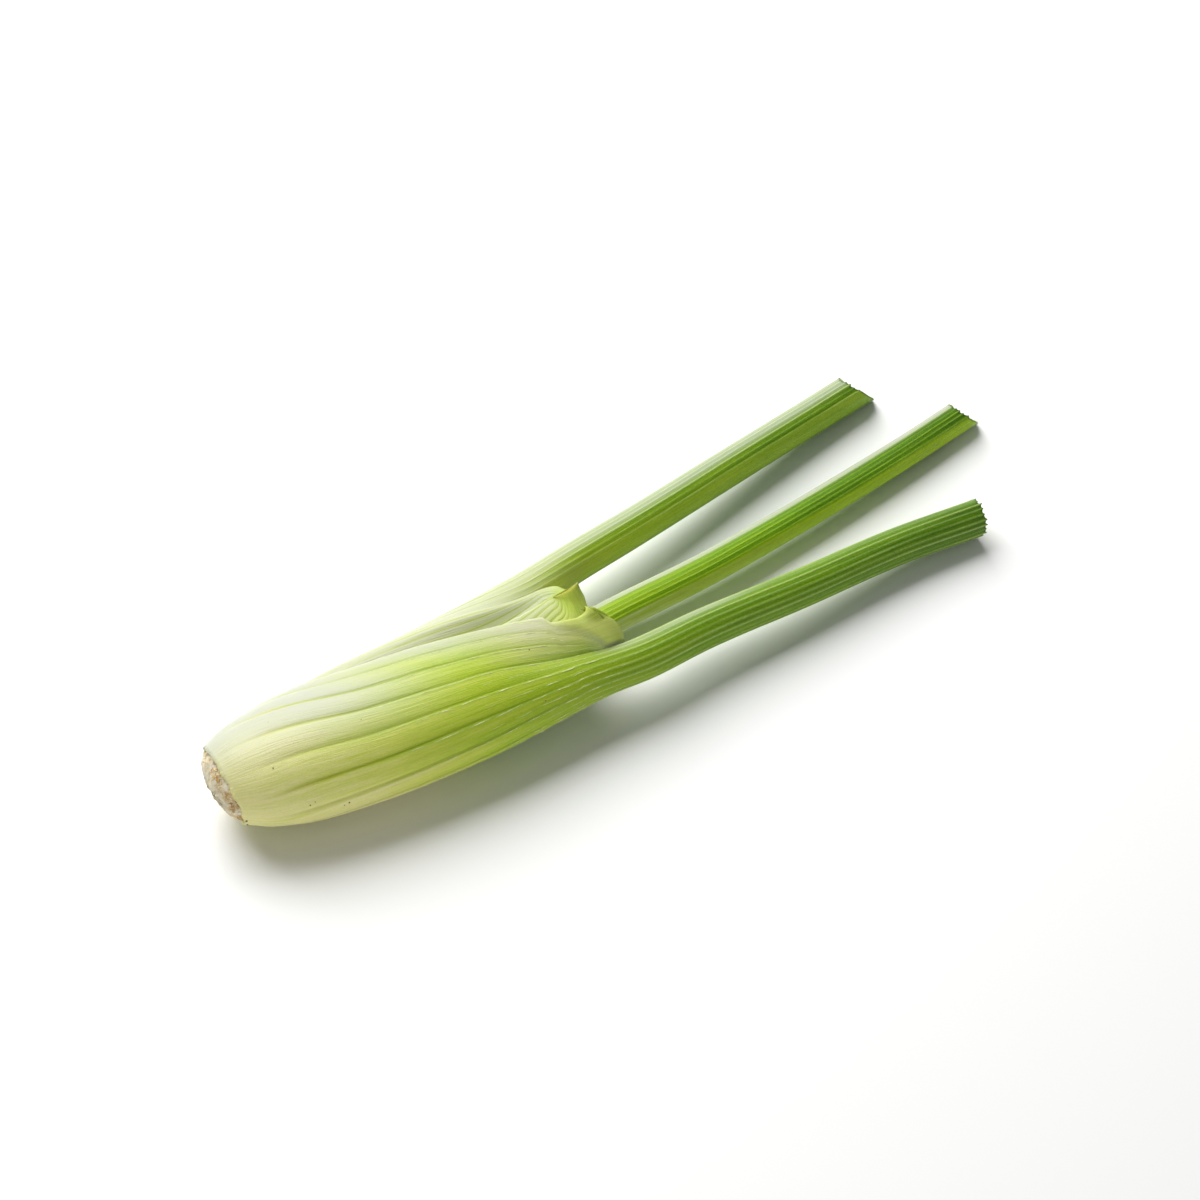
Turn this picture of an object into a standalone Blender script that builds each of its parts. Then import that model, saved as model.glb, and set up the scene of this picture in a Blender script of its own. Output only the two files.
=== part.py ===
"""Baby fennel, picked and trimmed, lying on a surface.

Three leaves grow from one stem base. The lower part of each leaf is a broad sheath, and the sheaths wrap
each other into a slender, slightly flattened bulb. Above the bulb each sheath gathers into a ribbed stalk
that ends in a knife cut. Two of the sheaths also end in a small closed hood beside the foot of the stalk.

Lengths below are in millimetres. While a leaf is shaped, x runs from the root cut to the stalk tips, y
across and z up. Angles round the bulb start at +Y and pass over the top.
"""

import bmesh
import bpy
import numpy as np
from mathutils import Vector

MM = 0.001
GAP = 0.43  # clearance between the inner leaf and the leaves round it

# Bulb outline: x, half width, half thickness, centre y, centre z
BULB = (
    (-2.0, 8.9, 7.6, 0.3, 11.6),
    (0.0, 9.6, 8.2, 0.2, 11.6),
    (5.0, 12.1, 10.0, -0.3, 11.7),
    (12.0, 14.0, 11.3, -1.0, 11.8),
    (30.0, 16.3, 12.2, -2.0, 11.9),
    (50.0, 17.5, 12.3, -2.2, 11.95),
    (75.0, 18.8, 10.9, -0.9, 11.9),
    (95.0, 19.4, 9.3, 0.6, 11.5),
)
# Sheath edges round the bulb in degrees:
# x, outer leaf's upper margin, the edge of its hood, its lower margin, far margin of the under leaf
MARGINS = (
    (0.0, -9.0, 84.0, 348.4, 352.0),
    (8.0, -6.0, 85.0, 348.0, 352.0),
    (14.0, 9.0, 88.0, 339.0, 351.0),
    (30.0, 45.0, 100.0, 318.0, 350.0),
    (50.0, 65.0, 108.0, 300.0, 342.0),
    (63.0, 77.0, 113.0, 283.0, 322.0),
    (79.0, 92.0, 120.0, 258.0, 298.0),
    (84.0, 97.0, 122.0, 252.0, 294.0),
    (95.0, 100.0, 126.0, 240.0, 290.0),
)
# Side of the inner leaf that becomes its stalk: x, lower and upper edge in degrees
INNER_SIDE = (
    (9.0, -26.0, 8.0),
    (30.0, -28.0, 24.0),
    (50.0, -32.0, 40.0),
    (63.0, -38.0, 52.0),
    (82.0, -46.0, 66.0),
    (95.0, -50.0, 72.0),
)
# Stalk centre lines: x, y, z, radius
OUTER_STALK = (
    (60.0, -12.8, 12.3, 5.6),
    (85.0, -13.5, 12.0, 5.2),
    (95.0, -13.7, 11.4, 5.2),
    (111.0, -12.5, 10.3, 5.0),
    (138.0, -12.0, 8.3, 4.8),
    (166.0, -11.1, 6.3, 4.7),
    (187.0, -11.9, 4.8, 4.7),
)
INNER_STALK = (
    (60.0, 11.4, 12.4, 5.3),
    (82.0, 14.4, 12.1, 5.0),
    (92.0, 16.5, 11.4, 4.9),
    (116.0, 21.3, 9.7, 4.75),
    (147.0, 28.2, 7.3, 4.65),
    (167.0, 32.5, 5.8, 4.6),
    (188.0, 36.8, 4.5, 4.6),
)
UNDER_STALK = (
    (60.0, 4.5, 5.6, 4.6),
    (85.0, 2.2, 6.6, 4.3),
    (100.0, 2.9, 7.1, 4.1),
    (122.0, 4.4, 6.6, 4.0),
    (151.0, 8.1, 5.8, 3.9),
    (183.0, 13.3, 4.9, 3.9),
    (206.0, 17.8, 4.1, 3.9),
)
STALK_BACK_ARC = 124.0  # half the angle of a stalk's ribbed back
STALK_FLAT = 0.16  # share of the radius lost in the middle of the smooth inner face
GATHER_START, GATHER_END = 56.0, 96.0  # a sheath turns into its stalk between these
UNDER_GATHER_START, UNDER_GATHER_END = 54.0, 92.0
HIDDEN_GATHER_START, HIDDEN_GATHER_END = 44.0, 82.0  # the hidden side of the inner leaf draws in first

MARGIN_THICKNESS, MID_THICKNESS, ROOT_THICKNESS = 0.9, 3.0, 1.1
WALL_GROWS = (0.0, 12.0)  # x over which a wall grows from the root thickness to its own
SHEATH_RIB_HEIGHT, STALK_RIB_HEIGHT = 0.36, 0.26
RIBS_GROW = (1.0, 14.0)  # x over which the ribs rise behind the root cut
POINTS_PER_RIB, INSIDE_POINTS_PER_RIB = 4, 2
INSIDE_INSET = 14.0  # degrees from the edge of a stalk's ribbed back to its inner face
ROOT_TILT = 0.12  # lean of the root cut in millimetres per millimetre of height
ROOT_TILT_REACH = 14.0

OUTER_START = 1.2
OUTER_RIBS, OUTER_HOOD_RIBS = 11, 3
OUTER_BACK = 188.0  # the way the back of the stalk faces, in degrees
OUTER_SPLIT = 84.0  # x where the hood parts from the stalk
OUTER_TIP = (186.2, 0.05, -0.12)  # x of the cut, then its lean across and up
OUTER_HOOD_SEAM = ((93.8, -8.5, 12.8), (92.2, -6.0, 17.6), (87.6, -1.9, 20.9))
OUTER_SEAM_ACROSS = (0.0, -0.62, 0.79)
OUTER_HOOD_BRIDGE = 36.0  # width of the stalk's inner face that the hood grows on, in degrees

INNER_START = 9.2
INNER_RIBS, INNER_HOOD_RIBS = 8, 9
INNER_BACK = 8.0
INNER_SPLIT = 82.0
INNER_TIP = (184.1, -1.0, -0.10)
INNER_HOOD_CENTRE = (2.5, 14.8)
INNER_HOOD_SIZE = (8.5, 5.2, 2.6)  # half width, height above and below the centre
INNER_HOOD_TURN = (12.0, 330.0)
INNER_HOOD_SEAM = ((85.0, 5.0, 19.1), (87.2, 5.4, 19.0), (91.0, 7.3, 17.5))
INNER_HOOD_BULGE = 0.68  # how far the hood's end stands out, per millimetre below the seam
INNER_SEAM_ACROSS = (0.0, -1.0, 0.0)
INNER_HOOD_POINTS, INNER_BRIDGE_POINTS, INNER_FACE_POINTS = 36, 5, 4
INNER_FACE_TURN, INNER_FACE_DEGREES = 44.0, 9.0  # smooth strip beside the ribs, on stalk and sheath
INNER_HOOD_SEAM_POINTS = (9, 32)  # points of the hood's base ring that lie behind the ends of its seam
# Degrees beside a margin where the inner leaf starts to rise, and where it is level with its neighbour
INNER_CLEAR, INNER_UNDER_RISE, INNER_OUTER_RISE = 3.2, 11.0, 22.0
# Extra clearance on the side of the mouth that doesn't show, and the x and the degrees over which it grows
INNER_RETREAT, INNER_RETREAT_X, INNER_RETREAT_DEGREES = 1.3, (50.0, 70.0), (96.0, 130.0)
# Places round the hood from 0 to 1: where its ribs fade out, where the hidden side takes over, and how far
# the pull of the stalk reaches from each end
INNER_RIBS_FADE, INNER_HIDDEN, INNER_PULL, INNER_LAST_PULL = (0.4, 0.55), (0.2, 0.45), 0.12, 0.25
INNER_EVEN_SHARE = 0.35  # share of the hood's points that is spread evenly
INNER_SETTLES = (68.0, 100.0)  # x over which the stalk loses the shape of the split

UNDER_START = 14.0
UNDER_RIBS = 6
UNDER_BACK = 275.0
UNDER_TIP = (202.5, -1.0, -0.10)
UNDER_SEAM = 2.3  # degrees left free beside the outer leaf's lower margin
UNDER_STEP, UNDER_STEP_WIDTH = 0.35, 0.3  # how far the under leaf lies lower there, over what share of it
UNDER_THICKNESS, UNDER_THICKENS = 2.6, (14.0, 45.0)

SEAM_OPENING = 0.3  # half width of the seam that closes a hood
HOOD_BULGE_REACH = 6.5  # millimetres below the seam past which a hood's end stands out no further
PLUG_END, PLUG_STEP, PLUG_GAP = 8.7, 2.2, 0.52
PLUG_POINTS = 44
PLUG_FACE = ((0.6, 0.7), (-0.7, 1.5), (-1.7, 3.0), (-2.3, 5.6))  # x, depth below the bulb's outline
PLUG_ROUGHNESS, PLUG_WAVES = 0.18, (7, 3)

SHEATH_STEP, STALK_STEP, HOOD_RINGS = 3.4, 9.0, 6


def curve_through(stations):
    """A smooth curve through stations: gives every column after the first for a value of the first."""
    table = np.array(stations, float)
    keys, values = table[:, 0], table[:, 1:]
    slopes = np.gradient(values, keys, axis=0)

    def at(key):
        key = np.clip(np.asarray(key, float), keys[0], keys[-1])
        i = np.clip(np.searchsorted(keys, key, side="right") - 1, 0, len(keys) - 2)
        span = (keys[i + 1] - keys[i])[..., None]
        u = (key - keys[i])[..., None] / span
        start = values[i] * (1 + 2 * u) * (1 - u) ** 2 + slopes[i] * span * u * (1 - u) ** 2
        end = values[i + 1] * u * u * (3 - 2 * u) - slopes[i + 1] * span * u * u * (1 - u)
        return np.moveaxis(start + end, -1, 0)

    return at


bulb_at = curve_through(BULB)
margins_at = curve_through(MARGINS)
inner_side_at = curve_through(INNER_SIDE)
outer_stalk_at = curve_through(OUTER_STALK)
inner_stalk_at = curve_through(INNER_STALK)
under_stalk_at = curve_through(UNDER_STALK)


def smoothstep(low, high, value):
    u = np.clip((np.asarray(value, float) - low) / (high - low), 0.0, 1.0)
    return u * u * (3 - 2 * u)


def mix(a, b, share):
    return a + (b - a) * np.asarray(share)[..., None]


def gathered(x):
    """0 where the outer or the inner leaf is all sheath, 1 where it is all stalk."""
    return smoothstep(GATHER_START, GATHER_END, x)


def under_gathered(x):
    return smoothstep(UNDER_GATHER_START, UNDER_GATHER_END, x)


def on_bulb(x, degrees, depth):
    """Points on the bulb's outline, sunk by depth along its normal."""
    half_width, half_thickness, y, z = bulb_at(x)
    c, s = np.cos(np.radians(degrees)), np.sin(np.radians(degrees))
    normal = np.stack([c / half_width, s / half_thickness])
    normal = normal / np.linalg.norm(normal, axis=0)
    across, up = half_width * c - depth * normal[0], half_thickness * s - depth * normal[1]
    lean = -ROOT_TILT * up * (1 - smoothstep(0, ROOT_TILT_REACH, x))
    return np.stack(np.broadcast_arrays(x + lean, y + across, z + up), -1)


def on_stalk(stalk_at, back, x, turn, height):
    """Points on a stalk, turned from the middle of its ribbed back and raised by height."""
    y, z, radius = stalk_at(x)
    reach = radius * (1 - STALK_FLAT * ((1 - np.cos(np.radians(turn))) / 2) ** 3) + height
    angle = np.radians(back + turn)
    return np.stack(np.broadcast_arrays(x, y + reach * np.cos(angle), z + reach * np.sin(angle)), -1)


def rib_relief(ribs, x, share):
    """Height of the ribs at a place counted in ribs. Each broad rib of a sheath becomes two on the stalk."""
    broad = SHEATH_RIB_HEIGHT * (0.5 - 0.5 * np.cos(2 * np.pi * ribs)) * smoothstep(*RIBS_GROW, x)
    fine = STALK_RIB_HEIGHT * (0.5 - 0.5 * np.cos(4 * np.pi * ribs))
    return broad * (1 - share) + fine * share


def wall(degrees, x, first_edge, last_edge):
    """Thickness of a sheath between its two margins, thickest half way between them."""
    place = np.clip((2 * degrees - first_edge - last_edge) / (last_edge - first_edge), -1, 1)
    grown = MARGIN_THICKNESS + (MID_THICKNESS - MARGIN_THICKNESS) * (1 - place**2)
    return ROOT_THICKNESS + (grown - ROOT_THICKNESS) * smoothstep(*WALL_GROWS, x)


def outer_wall(degrees, x):
    upper, _, lower, _ = margins_at(x)
    return wall(degrees, x, upper, lower)


def under_middle(x):
    return MARGIN_THICKNESS + (UNDER_THICKNESS - MARGIN_THICKNESS) * smoothstep(*UNDER_THICKENS, x)


def through_three(place, middle_place, first, middle, last):
    """Runs through first at -1, middle at middle_place and last at 1 without a kink."""
    return (
        first * (place - middle_place) * (place - 1) / ((-1 - middle_place) * -2)
        + middle * (place + 1) * (place - 1) / ((middle_place + 1) * (middle_place - 1))
        + last * (place + 1) * (place - middle_place) / (2 * (1 - middle_place))
    )


def outer_points(ribs, x, inside):
    """The outer leaf at a place counted in ribs from its lower margin, on its back or on its inside."""
    stalk_ribs = OUTER_RIBS - OUTER_HOOD_RIBS
    upper, hood_edge, lower, _ = margins_at(x)
    hood_place = 2 * stalk_ribs / OUTER_RIBS - 1

    def degrees_at(place):
        return through_three(place, hood_place, lower, hood_edge, upper)

    degrees = degrees_at(2 * ribs / OUTER_RIBS - 1)
    edge_degrees = degrees_at(hood_place)
    on_back = np.minimum(ribs, stalk_ribs) / stalk_ribs
    share = gathered(x)
    if inside:
        depth, edge_depth = outer_wall(degrees, x), outer_wall(edge_degrees, x)
        first, last = STALK_BACK_ARC + INSIDE_INSET, 360 - STALK_BACK_ARC - OUTER_HOOD_BRIDGE
        height = 0.0
    else:
        depth, edge_depth = -rib_relief(ribs, x, share), -rib_relief(stalk_ribs, x, share)
        first, last = STALK_BACK_ARC, -STALK_BACK_ARC
        height = rib_relief(np.minimum(ribs, stalk_ribs), x, share)
    sheath = on_bulb(x, degrees, depth)
    stalk = on_stalk(outer_stalk_at, OUTER_BACK, x, first + (last - first) * on_back, height)
    pull = stalk - on_bulb(x, edge_degrees, edge_depth)
    hood = np.clip((ribs - stalk_ribs) / OUTER_HOOD_RIBS, 0, 1)
    hooded = sheath + pull * (share * (1 - hood) ** 2)[..., None]
    return np.where((hood > 0)[..., None], hooded, mix(sheath, stalk, share))


def under_points(ribs, x, inside):
    """The under leaf at a place counted in ribs, away from the outer leaf's lower margin."""
    _, _, lower, far = margins_at(x)
    place = ribs / UNDER_RIBS
    middle_share = 1 - (2 * place - 1) ** 2
    degrees = lower + UNDER_SEAM + (far - lower - UNDER_SEAM) * place
    step = UNDER_STEP * (1 - smoothstep(0.0, UNDER_STEP_WIDTH, place))
    if inside:
        depth = MARGIN_THICKNESS + (under_middle(x) - MARGIN_THICKNESS) * middle_share
        first, last = 360 - STALK_BACK_ARC - INSIDE_INSET, STALK_BACK_ARC + INSIDE_INSET
        height = 0.0
    else:
        height = rib_relief(ribs, x, under_gathered(x))
        depth = step - height
        first, last = -STALK_BACK_ARC, STALK_BACK_ARC
    sheath = on_bulb(x, degrees, depth)
    stalk = on_stalk(under_stalk_at, UNDER_BACK, x, first + (last - first) * place, height)
    return mix(sheath, stalk, under_gathered(x))


def inner_depth(degrees, x):
    """How deep the inner leaf lies to clear the leaves round it, and how far it has risen beside them."""
    upper, _, lower, far = margins_at(x)
    turned = np.mod(degrees - upper, 360.0) + upper
    above_under = smoothstep(lower - INNER_UNDER_RISE, lower, turned) * under_middle(x)
    walls = np.maximum(outer_wall(turned, x), above_under)
    beside_under = smoothstep(INNER_CLEAR, INNER_UNDER_RISE, turned - far)
    rise = beside_under * smoothstep(INNER_CLEAR, INNER_OUTER_RISE, upper + 360.0 - turned)
    retreat = INNER_RETREAT * smoothstep(*INNER_RETREAT_X, x) * smoothstep(*INNER_RETREAT_DEGREES, turned)
    return (walls + GAP + retreat) * (1 - rise), rise


def inner_hood_share(points):
    """Places of the hood's points round it, closer together on the side that shows."""
    step = np.arange(1, points) / points
    return INNER_EVEN_SHARE * step + (1 - INNER_EVEN_SHARE) * step**2


def inner_side_points():
    """Places round the stalk side, a smooth strip and then the ribs: in the strip, in ribs, in degrees."""
    back = np.arange(INNER_RIBS * POINTS_PER_RIB + 1) / POINTS_PER_RIB
    ribs = np.concatenate([np.zeros(INNER_FACE_POINTS), back])
    strip = np.concatenate([np.arange(INNER_FACE_POINTS) / INNER_FACE_POINTS - 1, np.zeros_like(back)])
    turns = STALK_BACK_ARC * (2 * ribs / INNER_RIBS - 1) + INNER_FACE_TURN * strip
    return strip, ribs, turns


def inner_ring(x):
    """The inner leaf's closed outline: its stalk side, then its hood and hidden side."""
    low, high = inner_side_at(x)
    strip, ribs, turns = inner_side_points()
    share = gathered(x)
    height = rib_relief(ribs, x, share)
    degrees = low + (high - low) * ribs / INNER_RIBS + INNER_FACE_DEGREES * strip
    depth, rise = inner_depth(degrees, x)
    sheath = on_bulb(x, degrees, depth - height * rise)
    side = mix(sheath, on_stalk(inner_stalk_at, INNER_BACK, x, turns, height), share)

    round_hood = inner_hood_share(INNER_HOOD_POINTS)
    degrees = high + (360 + low - INNER_FACE_DEGREES - high) * round_hood
    step = np.arange(1, INNER_HOOD_POINTS) / INNER_HOOD_POINTS
    shows = 1 - smoothstep(*INNER_RIBS_FADE, step)
    height = STALK_RIB_HEIGHT * (0.5 - 0.5 * np.cos(4 * np.pi * INNER_HOOD_RIBS * step)) * shows
    height = height * smoothstep(*RIBS_GROW, x)
    depth, rise = inner_depth(degrees, x)
    sheath = on_bulb(x, degrees, depth - height * rise)
    hood = inner_hood_outline(x, round_hood, height)
    hidden_share = smoothstep(HIDDEN_GATHER_START, HIDDEN_GATHER_END, x)
    body = mix(sheath, hood, share + (hidden_share - share) * smoothstep(*INNER_HIDDEN, round_hood))
    first_pull, last_pull = side[-1] - body[0], side[0] - body[-1]
    body = body + first_pull * smoothstep(INNER_PULL, 0.0, round_hood)[:, None] * share
    body = body + last_pull * smoothstep(1 - INNER_LAST_PULL, 1.0, round_hood)[:, None] * share
    return side, body


def inner_hood_outline(x, round_hood, height):
    first, last = np.radians(INNER_HOOD_TURN)
    angle = first + (last - first) * round_hood
    half_width, above, below = INNER_HOOD_SIZE
    up = np.where(np.sin(angle) > 0, above, below) + height
    y = INNER_HOOD_CENTRE[0] + (half_width + height) * np.cos(angle)
    z = INNER_HOOD_CENTRE[1] + up * np.sin(angle)
    return np.stack(np.broadcast_arrays(x, y, z), -1)


def along_seam(seam, place):
    """Points along a hood's closing seam, for places from 0 to 1."""
    stations = [(i / (len(seam) - 1), *point) for i, point in enumerate(seam)]
    return np.moveaxis(curve_through(stations)(place), 0, -1)


def hood_ring(base, targets, step, bulge):
    """One ring of a hood: the base ring drawn in towards the seam as on a dome, bulging below the seam."""
    forward, inward = np.sin(step * np.pi / 2), np.cos(step * np.pi / 2)
    below = np.clip(targets[:, 2] - base[:, 2], 0, HOOD_BULGE_REACH)
    ring = targets + (base - targets) * inward
    ring[:, 0] = base[:, 0] + (targets[:, 0] - base[:, 0]) * forward
    ring[:, 0] += bulge * below * np.sin(step * np.pi) * inward
    return ring


def seam_targets(seam, places, side, across):
    """Where each point of a hood's base ring ends: on one lip of the seam or the other."""
    return along_seam(seam, places) + np.outer(side * np.ones_like(places), across) * SEAM_OPENING


def tip_rings(points_at, start, tip, stalk_at, count):
    """Rings from start to a slanting cut. points_at gives the ring's points for an x of each."""
    cut_x, lean_across, lean_up = tip
    y, z, _ = stalk_at(cut_x)
    ends = points_at(cut_x)
    for _ in range(3):
        end_x = cut_x + lean_across * (ends[:, 1] - y) + lean_up * (ends[:, 2] - z)
        ends = points_at(end_x)
    return [points_at(start + (end_x - start) * (i + 1) / count) for i in range(count)]


class Skin:
    """Rings of points joined into one closed mesh."""

    def __init__(self):
        self.bm = bmesh.new()

    def ring(self, points):
        return [self.bm.verts.new(Vector(point) * MM) for point in points]

    def join(self, first, second):
        for i in range(len(first)):
            k = (i + 1) % len(first)
            self.bm.faces.new((first[i], first[k], second[k], second[i]))

    def join_all(self, first, rings):
        for points in rings:
            second = self.ring(points)
            self.join(first, second)
            first = second
        return first

    def fan(self, ring):
        middle = self.bm.verts.new(sum((vert.co for vert in ring), Vector()) / len(ring))
        for i, vert in enumerate(ring):
            self.bm.faces.new((vert, ring[(i + 1) % len(ring)], middle))

    def strip(self, back, inside):
        """Closes a curved end that has several back points to each inside point."""
        step = (len(back) - 1) // (len(inside) - 1)
        for i in range(len(inside) - 1):
            run = back[i * step : (i + 1) * step + 1]
            for k in range(step):
                self.bm.faces.new((run[k], run[k + 1], inside[i]))
            self.bm.faces.new((run[-1], inside[i + 1], inside[i]))

    def finish(self, name):
        for vert in self.bm.verts:
            vert.co.z = max(vert.co.z, 0.0)
        bmesh.ops.triangulate(self.bm, faces=self.bm.faces)
        bmesh.ops.recalc_face_normals(self.bm, faces=self.bm.faces)
        mesh = bpy.data.meshes.new(name)
        self.bm.to_mesh(mesh)
        self.bm.free()
        mesh.shade_smooth()
        return bpy.data.objects.new(name, mesh)


def spaced(start, end, step):
    return np.linspace(start, end, max(2, round((end - start) / step) + 1))


def outer_leaf():
    """The outermost leaf: a sheath round most of the bulb, its hood, and the stalk at the front."""
    back_ribs = np.arange(OUTER_RIBS * POINTS_PER_RIB + 1) / POINTS_PER_RIB
    inside_ribs = np.arange(OUTER_RIBS * INSIDE_POINTS_PER_RIB + 1) / INSIDE_POINTS_PER_RIB

    def section(x):
        back = outer_points(back_ribs, np.full_like(back_ribs, x), False)
        inside = outer_points(inside_ribs, np.full_like(inside_ribs, x), True)
        return np.vstack([back, inside[::-1]])

    skin = Skin()
    rings = [section(x) for x in spaced(OUTER_START, OUTER_SPLIT, SHEATH_STEP)]
    root = skin.ring(rings[0])
    last = skin.join_all(root, rings[1:])
    count = len(back_ribs)
    skin.strip(root[:count], root[count:][::-1])

    stalk_ribs = OUTER_RIBS - OUTER_HOOD_RIBS
    cut = stalk_ribs * POINTS_PER_RIB
    inside_cut = len(last) - 1 - stalk_ribs * INSIDE_POINTS_PER_RIB
    stalk_loop = last[: cut + 1] + last[inside_cut:]
    hood_loop = last[cut : inside_cut + 1]

    stalk_back = back_ribs[: cut + 1]
    stalk_inside = inside_ribs[: stalk_ribs * INSIDE_POINTS_PER_RIB + 1][::-1]

    def stalk_section(x):
        x = np.broadcast_to(x, len(stalk_back) + len(stalk_inside))
        back = outer_points(stalk_back, x[: len(stalk_back)], False)
        inside = outer_points(stalk_inside, x[len(stalk_back) :], True)
        return np.vstack([back, inside])

    stalk_rings = round((OUTER_TIP[0] - OUTER_SPLIT) / STALK_STEP)
    rings = tip_rings(stalk_section, OUTER_SPLIT, OUTER_TIP, outer_stalk_at, stalk_rings)
    skin.fan(skin.join_all(stalk_loop, rings))

    base = np.array([vert.co for vert in hood_loop]) / MM
    outside_count = OUTER_HOOD_RIBS * POINTS_PER_RIB + 1
    outside_places = np.linspace(0.0, 1.0, outside_count)
    inside_places = np.linspace(1.0, 0.0, OUTER_HOOD_RIBS * INSIDE_POINTS_PER_RIB + 1)
    targets = np.vstack(
        [
            seam_targets(OUTER_HOOD_SEAM, outside_places, 1, OUTER_SEAM_ACROSS),
            seam_targets(OUTER_HOOD_SEAM, inside_places, -1, OUTER_SEAM_ACROSS),
        ]
    )
    rings = [hood_ring(base, targets, (i + 1) / HOOD_RINGS, 0.0) for i in range(HOOD_RINGS)]
    end = skin.join_all(hood_loop, rings)
    skin.strip(end[:outside_count], end[outside_count:][::-1])
    return skin.finish("outer_leaf")


def inner_leaf():
    """The innermost leaf: the heart of the bulb, its slit hood, and the stalk at the back."""
    skin = Skin()
    sections = [inner_ring(x) for x in spaced(INNER_START, INNER_SPLIT, SHEATH_STEP)]
    rings = [np.vstack(section) for section in sections]
    root = skin.ring(rings[0])
    last = skin.join_all(root, rings[1:])
    skin.fan(root)

    side_count = len(sections[-1][0])
    side, body = last[:side_count], last[side_count:]
    _, ribs, side_turns = inner_side_points()
    face_turns = np.linspace(STALK_BACK_ARC, 360 + side_turns[0], INNER_BRIDGE_POINTS + 2)
    face_places = np.linspace(0, 1, INNER_BRIDGE_POINTS + 2)[1:-1]
    turns = np.concatenate([side_turns, face_turns[1:-1]])
    side_ends = np.array([side[-1].co, side[0].co]) / MM
    stalk_ends = on_stalk(inner_stalk_at, INNER_BACK, INNER_SPLIT, face_turns[[0, -1]], 0.0)
    face = on_stalk(inner_stalk_at, INNER_BACK, INNER_SPLIT, face_turns[1:-1], 0.0)
    pulls = side_ends - stalk_ends
    face = face + pulls[0] * (1 - face_places[:, None]) + pulls[1] * face_places[:, None]
    bridge = skin.ring(face)

    split_ring = np.vstack([sections[-1][0], face])

    def stalk_section(x):
        x = np.broadcast_to(x, len(turns))
        ridges = rib_relief(ribs, x[:side_count], gathered(x[:side_count]))
        height = np.concatenate([ridges, np.zeros(INNER_BRIDGE_POINTS)])
        stalk = on_stalk(inner_stalk_at, INNER_BACK, x, turns, height)
        at_split = on_stalk(inner_stalk_at, INNER_BACK, INNER_SPLIT, turns, height)
        left = (1 - smoothstep(*INNER_SETTLES, x)) / (1 - smoothstep(*INNER_SETTLES, INNER_SPLIT))
        moved = (split_ring - at_split) * left[:, None]
        moved[:, 0] = 0
        return stalk + moved

    stalk_rings = round((INNER_TIP[0] - INNER_SPLIT) / STALK_STEP)
    rings = tip_rings(stalk_section, INNER_SPLIT, INNER_TIP, inner_stalk_at, stalk_rings)
    skin.fan(skin.join_all(side + bridge, rings))

    hood_loop = [side[-1]] + body + [side[0]] + bridge[::-1]
    base = np.array([vert.co for vert in hood_loop]) / MM
    first, last = INNER_HOOD_SEAM_POINTS
    around = np.mod(np.arange(len(hood_loop)) - first, len(hood_loop))
    near_count = last - first
    far_count = len(hood_loop) - near_count
    places = np.where(around < near_count, around / near_count, (len(hood_loop) - around) / far_count)
    sides = np.where(around < near_count, 1, -1)
    targets = seam_targets(INNER_HOOD_SEAM, places, sides, INNER_SEAM_ACROSS)
    rings = [hood_ring(base, targets, (i + 1) / HOOD_RINGS, INNER_HOOD_BULGE) for i in range(HOOD_RINGS)]
    skin.fan(skin.join_all(hood_loop, rings))
    return skin.finish("inner_leaf")


def under_leaf():
    """The leaf that lies lowest: a narrow stretch of sheath under the bulb, and the middle stalk."""
    back_ribs = np.arange(UNDER_RIBS * POINTS_PER_RIB + 1) / POINTS_PER_RIB
    inside_ribs = np.arange(UNDER_RIBS * INSIDE_POINTS_PER_RIB + 1)[::-1] / INSIDE_POINTS_PER_RIB

    def section(x):
        x = np.broadcast_to(x, len(back_ribs) + len(inside_ribs))
        back = under_points(back_ribs, x[: len(back_ribs)], False)
        inside = under_points(inside_ribs, x[len(back_ribs) :], True)
        return np.vstack([back, inside])

    skin = Skin()
    rings = [section(x) for x in spaced(UNDER_START, UNDER_GATHER_END, SHEATH_STEP)]
    root = skin.ring(rings[0])
    last = skin.join_all(root, rings[1:])
    count = len(back_ribs)
    skin.strip(root[:count], root[count:][::-1])
    stalk_rings = round((UNDER_TIP[0] - UNDER_GATHER_END) / STALK_STEP)
    rings = tip_rings(section, UNDER_GATHER_END, UNDER_TIP, under_stalk_at, stalk_rings)
    skin.fan(skin.join_all(last, rings))
    return skin.finish("under_leaf")


def stem_base():
    """The cut stem that the leaves grow from. Its rough face shows inside the ring of the outer leaf."""
    degrees = np.arange(PLUG_POINTS) * 360 / PLUG_POINTS

    def inside_sheath(x):
        upper, _, _, _ = margins_at(x)
        turned = np.mod(degrees - upper, 360.0) + upper
        return on_bulb(x, turned, outer_wall(turned, x) + PLUG_GAP)

    def cut_face(x, depth):
        fine, coarse = PLUG_WAVES
        waves = np.sin(np.radians(degrees * fine) + depth) * np.sin(np.radians(degrees * coarse))
        rough = PLUG_ROUGHNESS * (depth - PLUG_FACE[0][1]) * waves
        return on_bulb(x + rough, degrees, depth + rough)

    skin = Skin()
    rings = [inside_sheath(x) for x in spaced(PLUG_FACE[0][0], PLUG_END, PLUG_STEP)]
    faces = [cut_face(x, depth) for x, depth in PLUG_FACE]
    inner_end = skin.ring(rings[-1])
    skin.fan(inner_end)
    skin.fan(skin.join_all(inner_end, rings[-2::-1] + faces))
    return skin.finish("stem_base")


def material(name, colour, roughness):
    result = bpy.data.materials.new(name)
    result.use_nodes = True
    shader = result.node_tree.nodes["Principled BSDF"]
    shader.inputs["Base Color"].default_value = (*colour, 1.0)
    shader.inputs["Roughness"].default_value = roughness
    shader.inputs["Metallic"].default_value = 0.0
    return result


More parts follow.
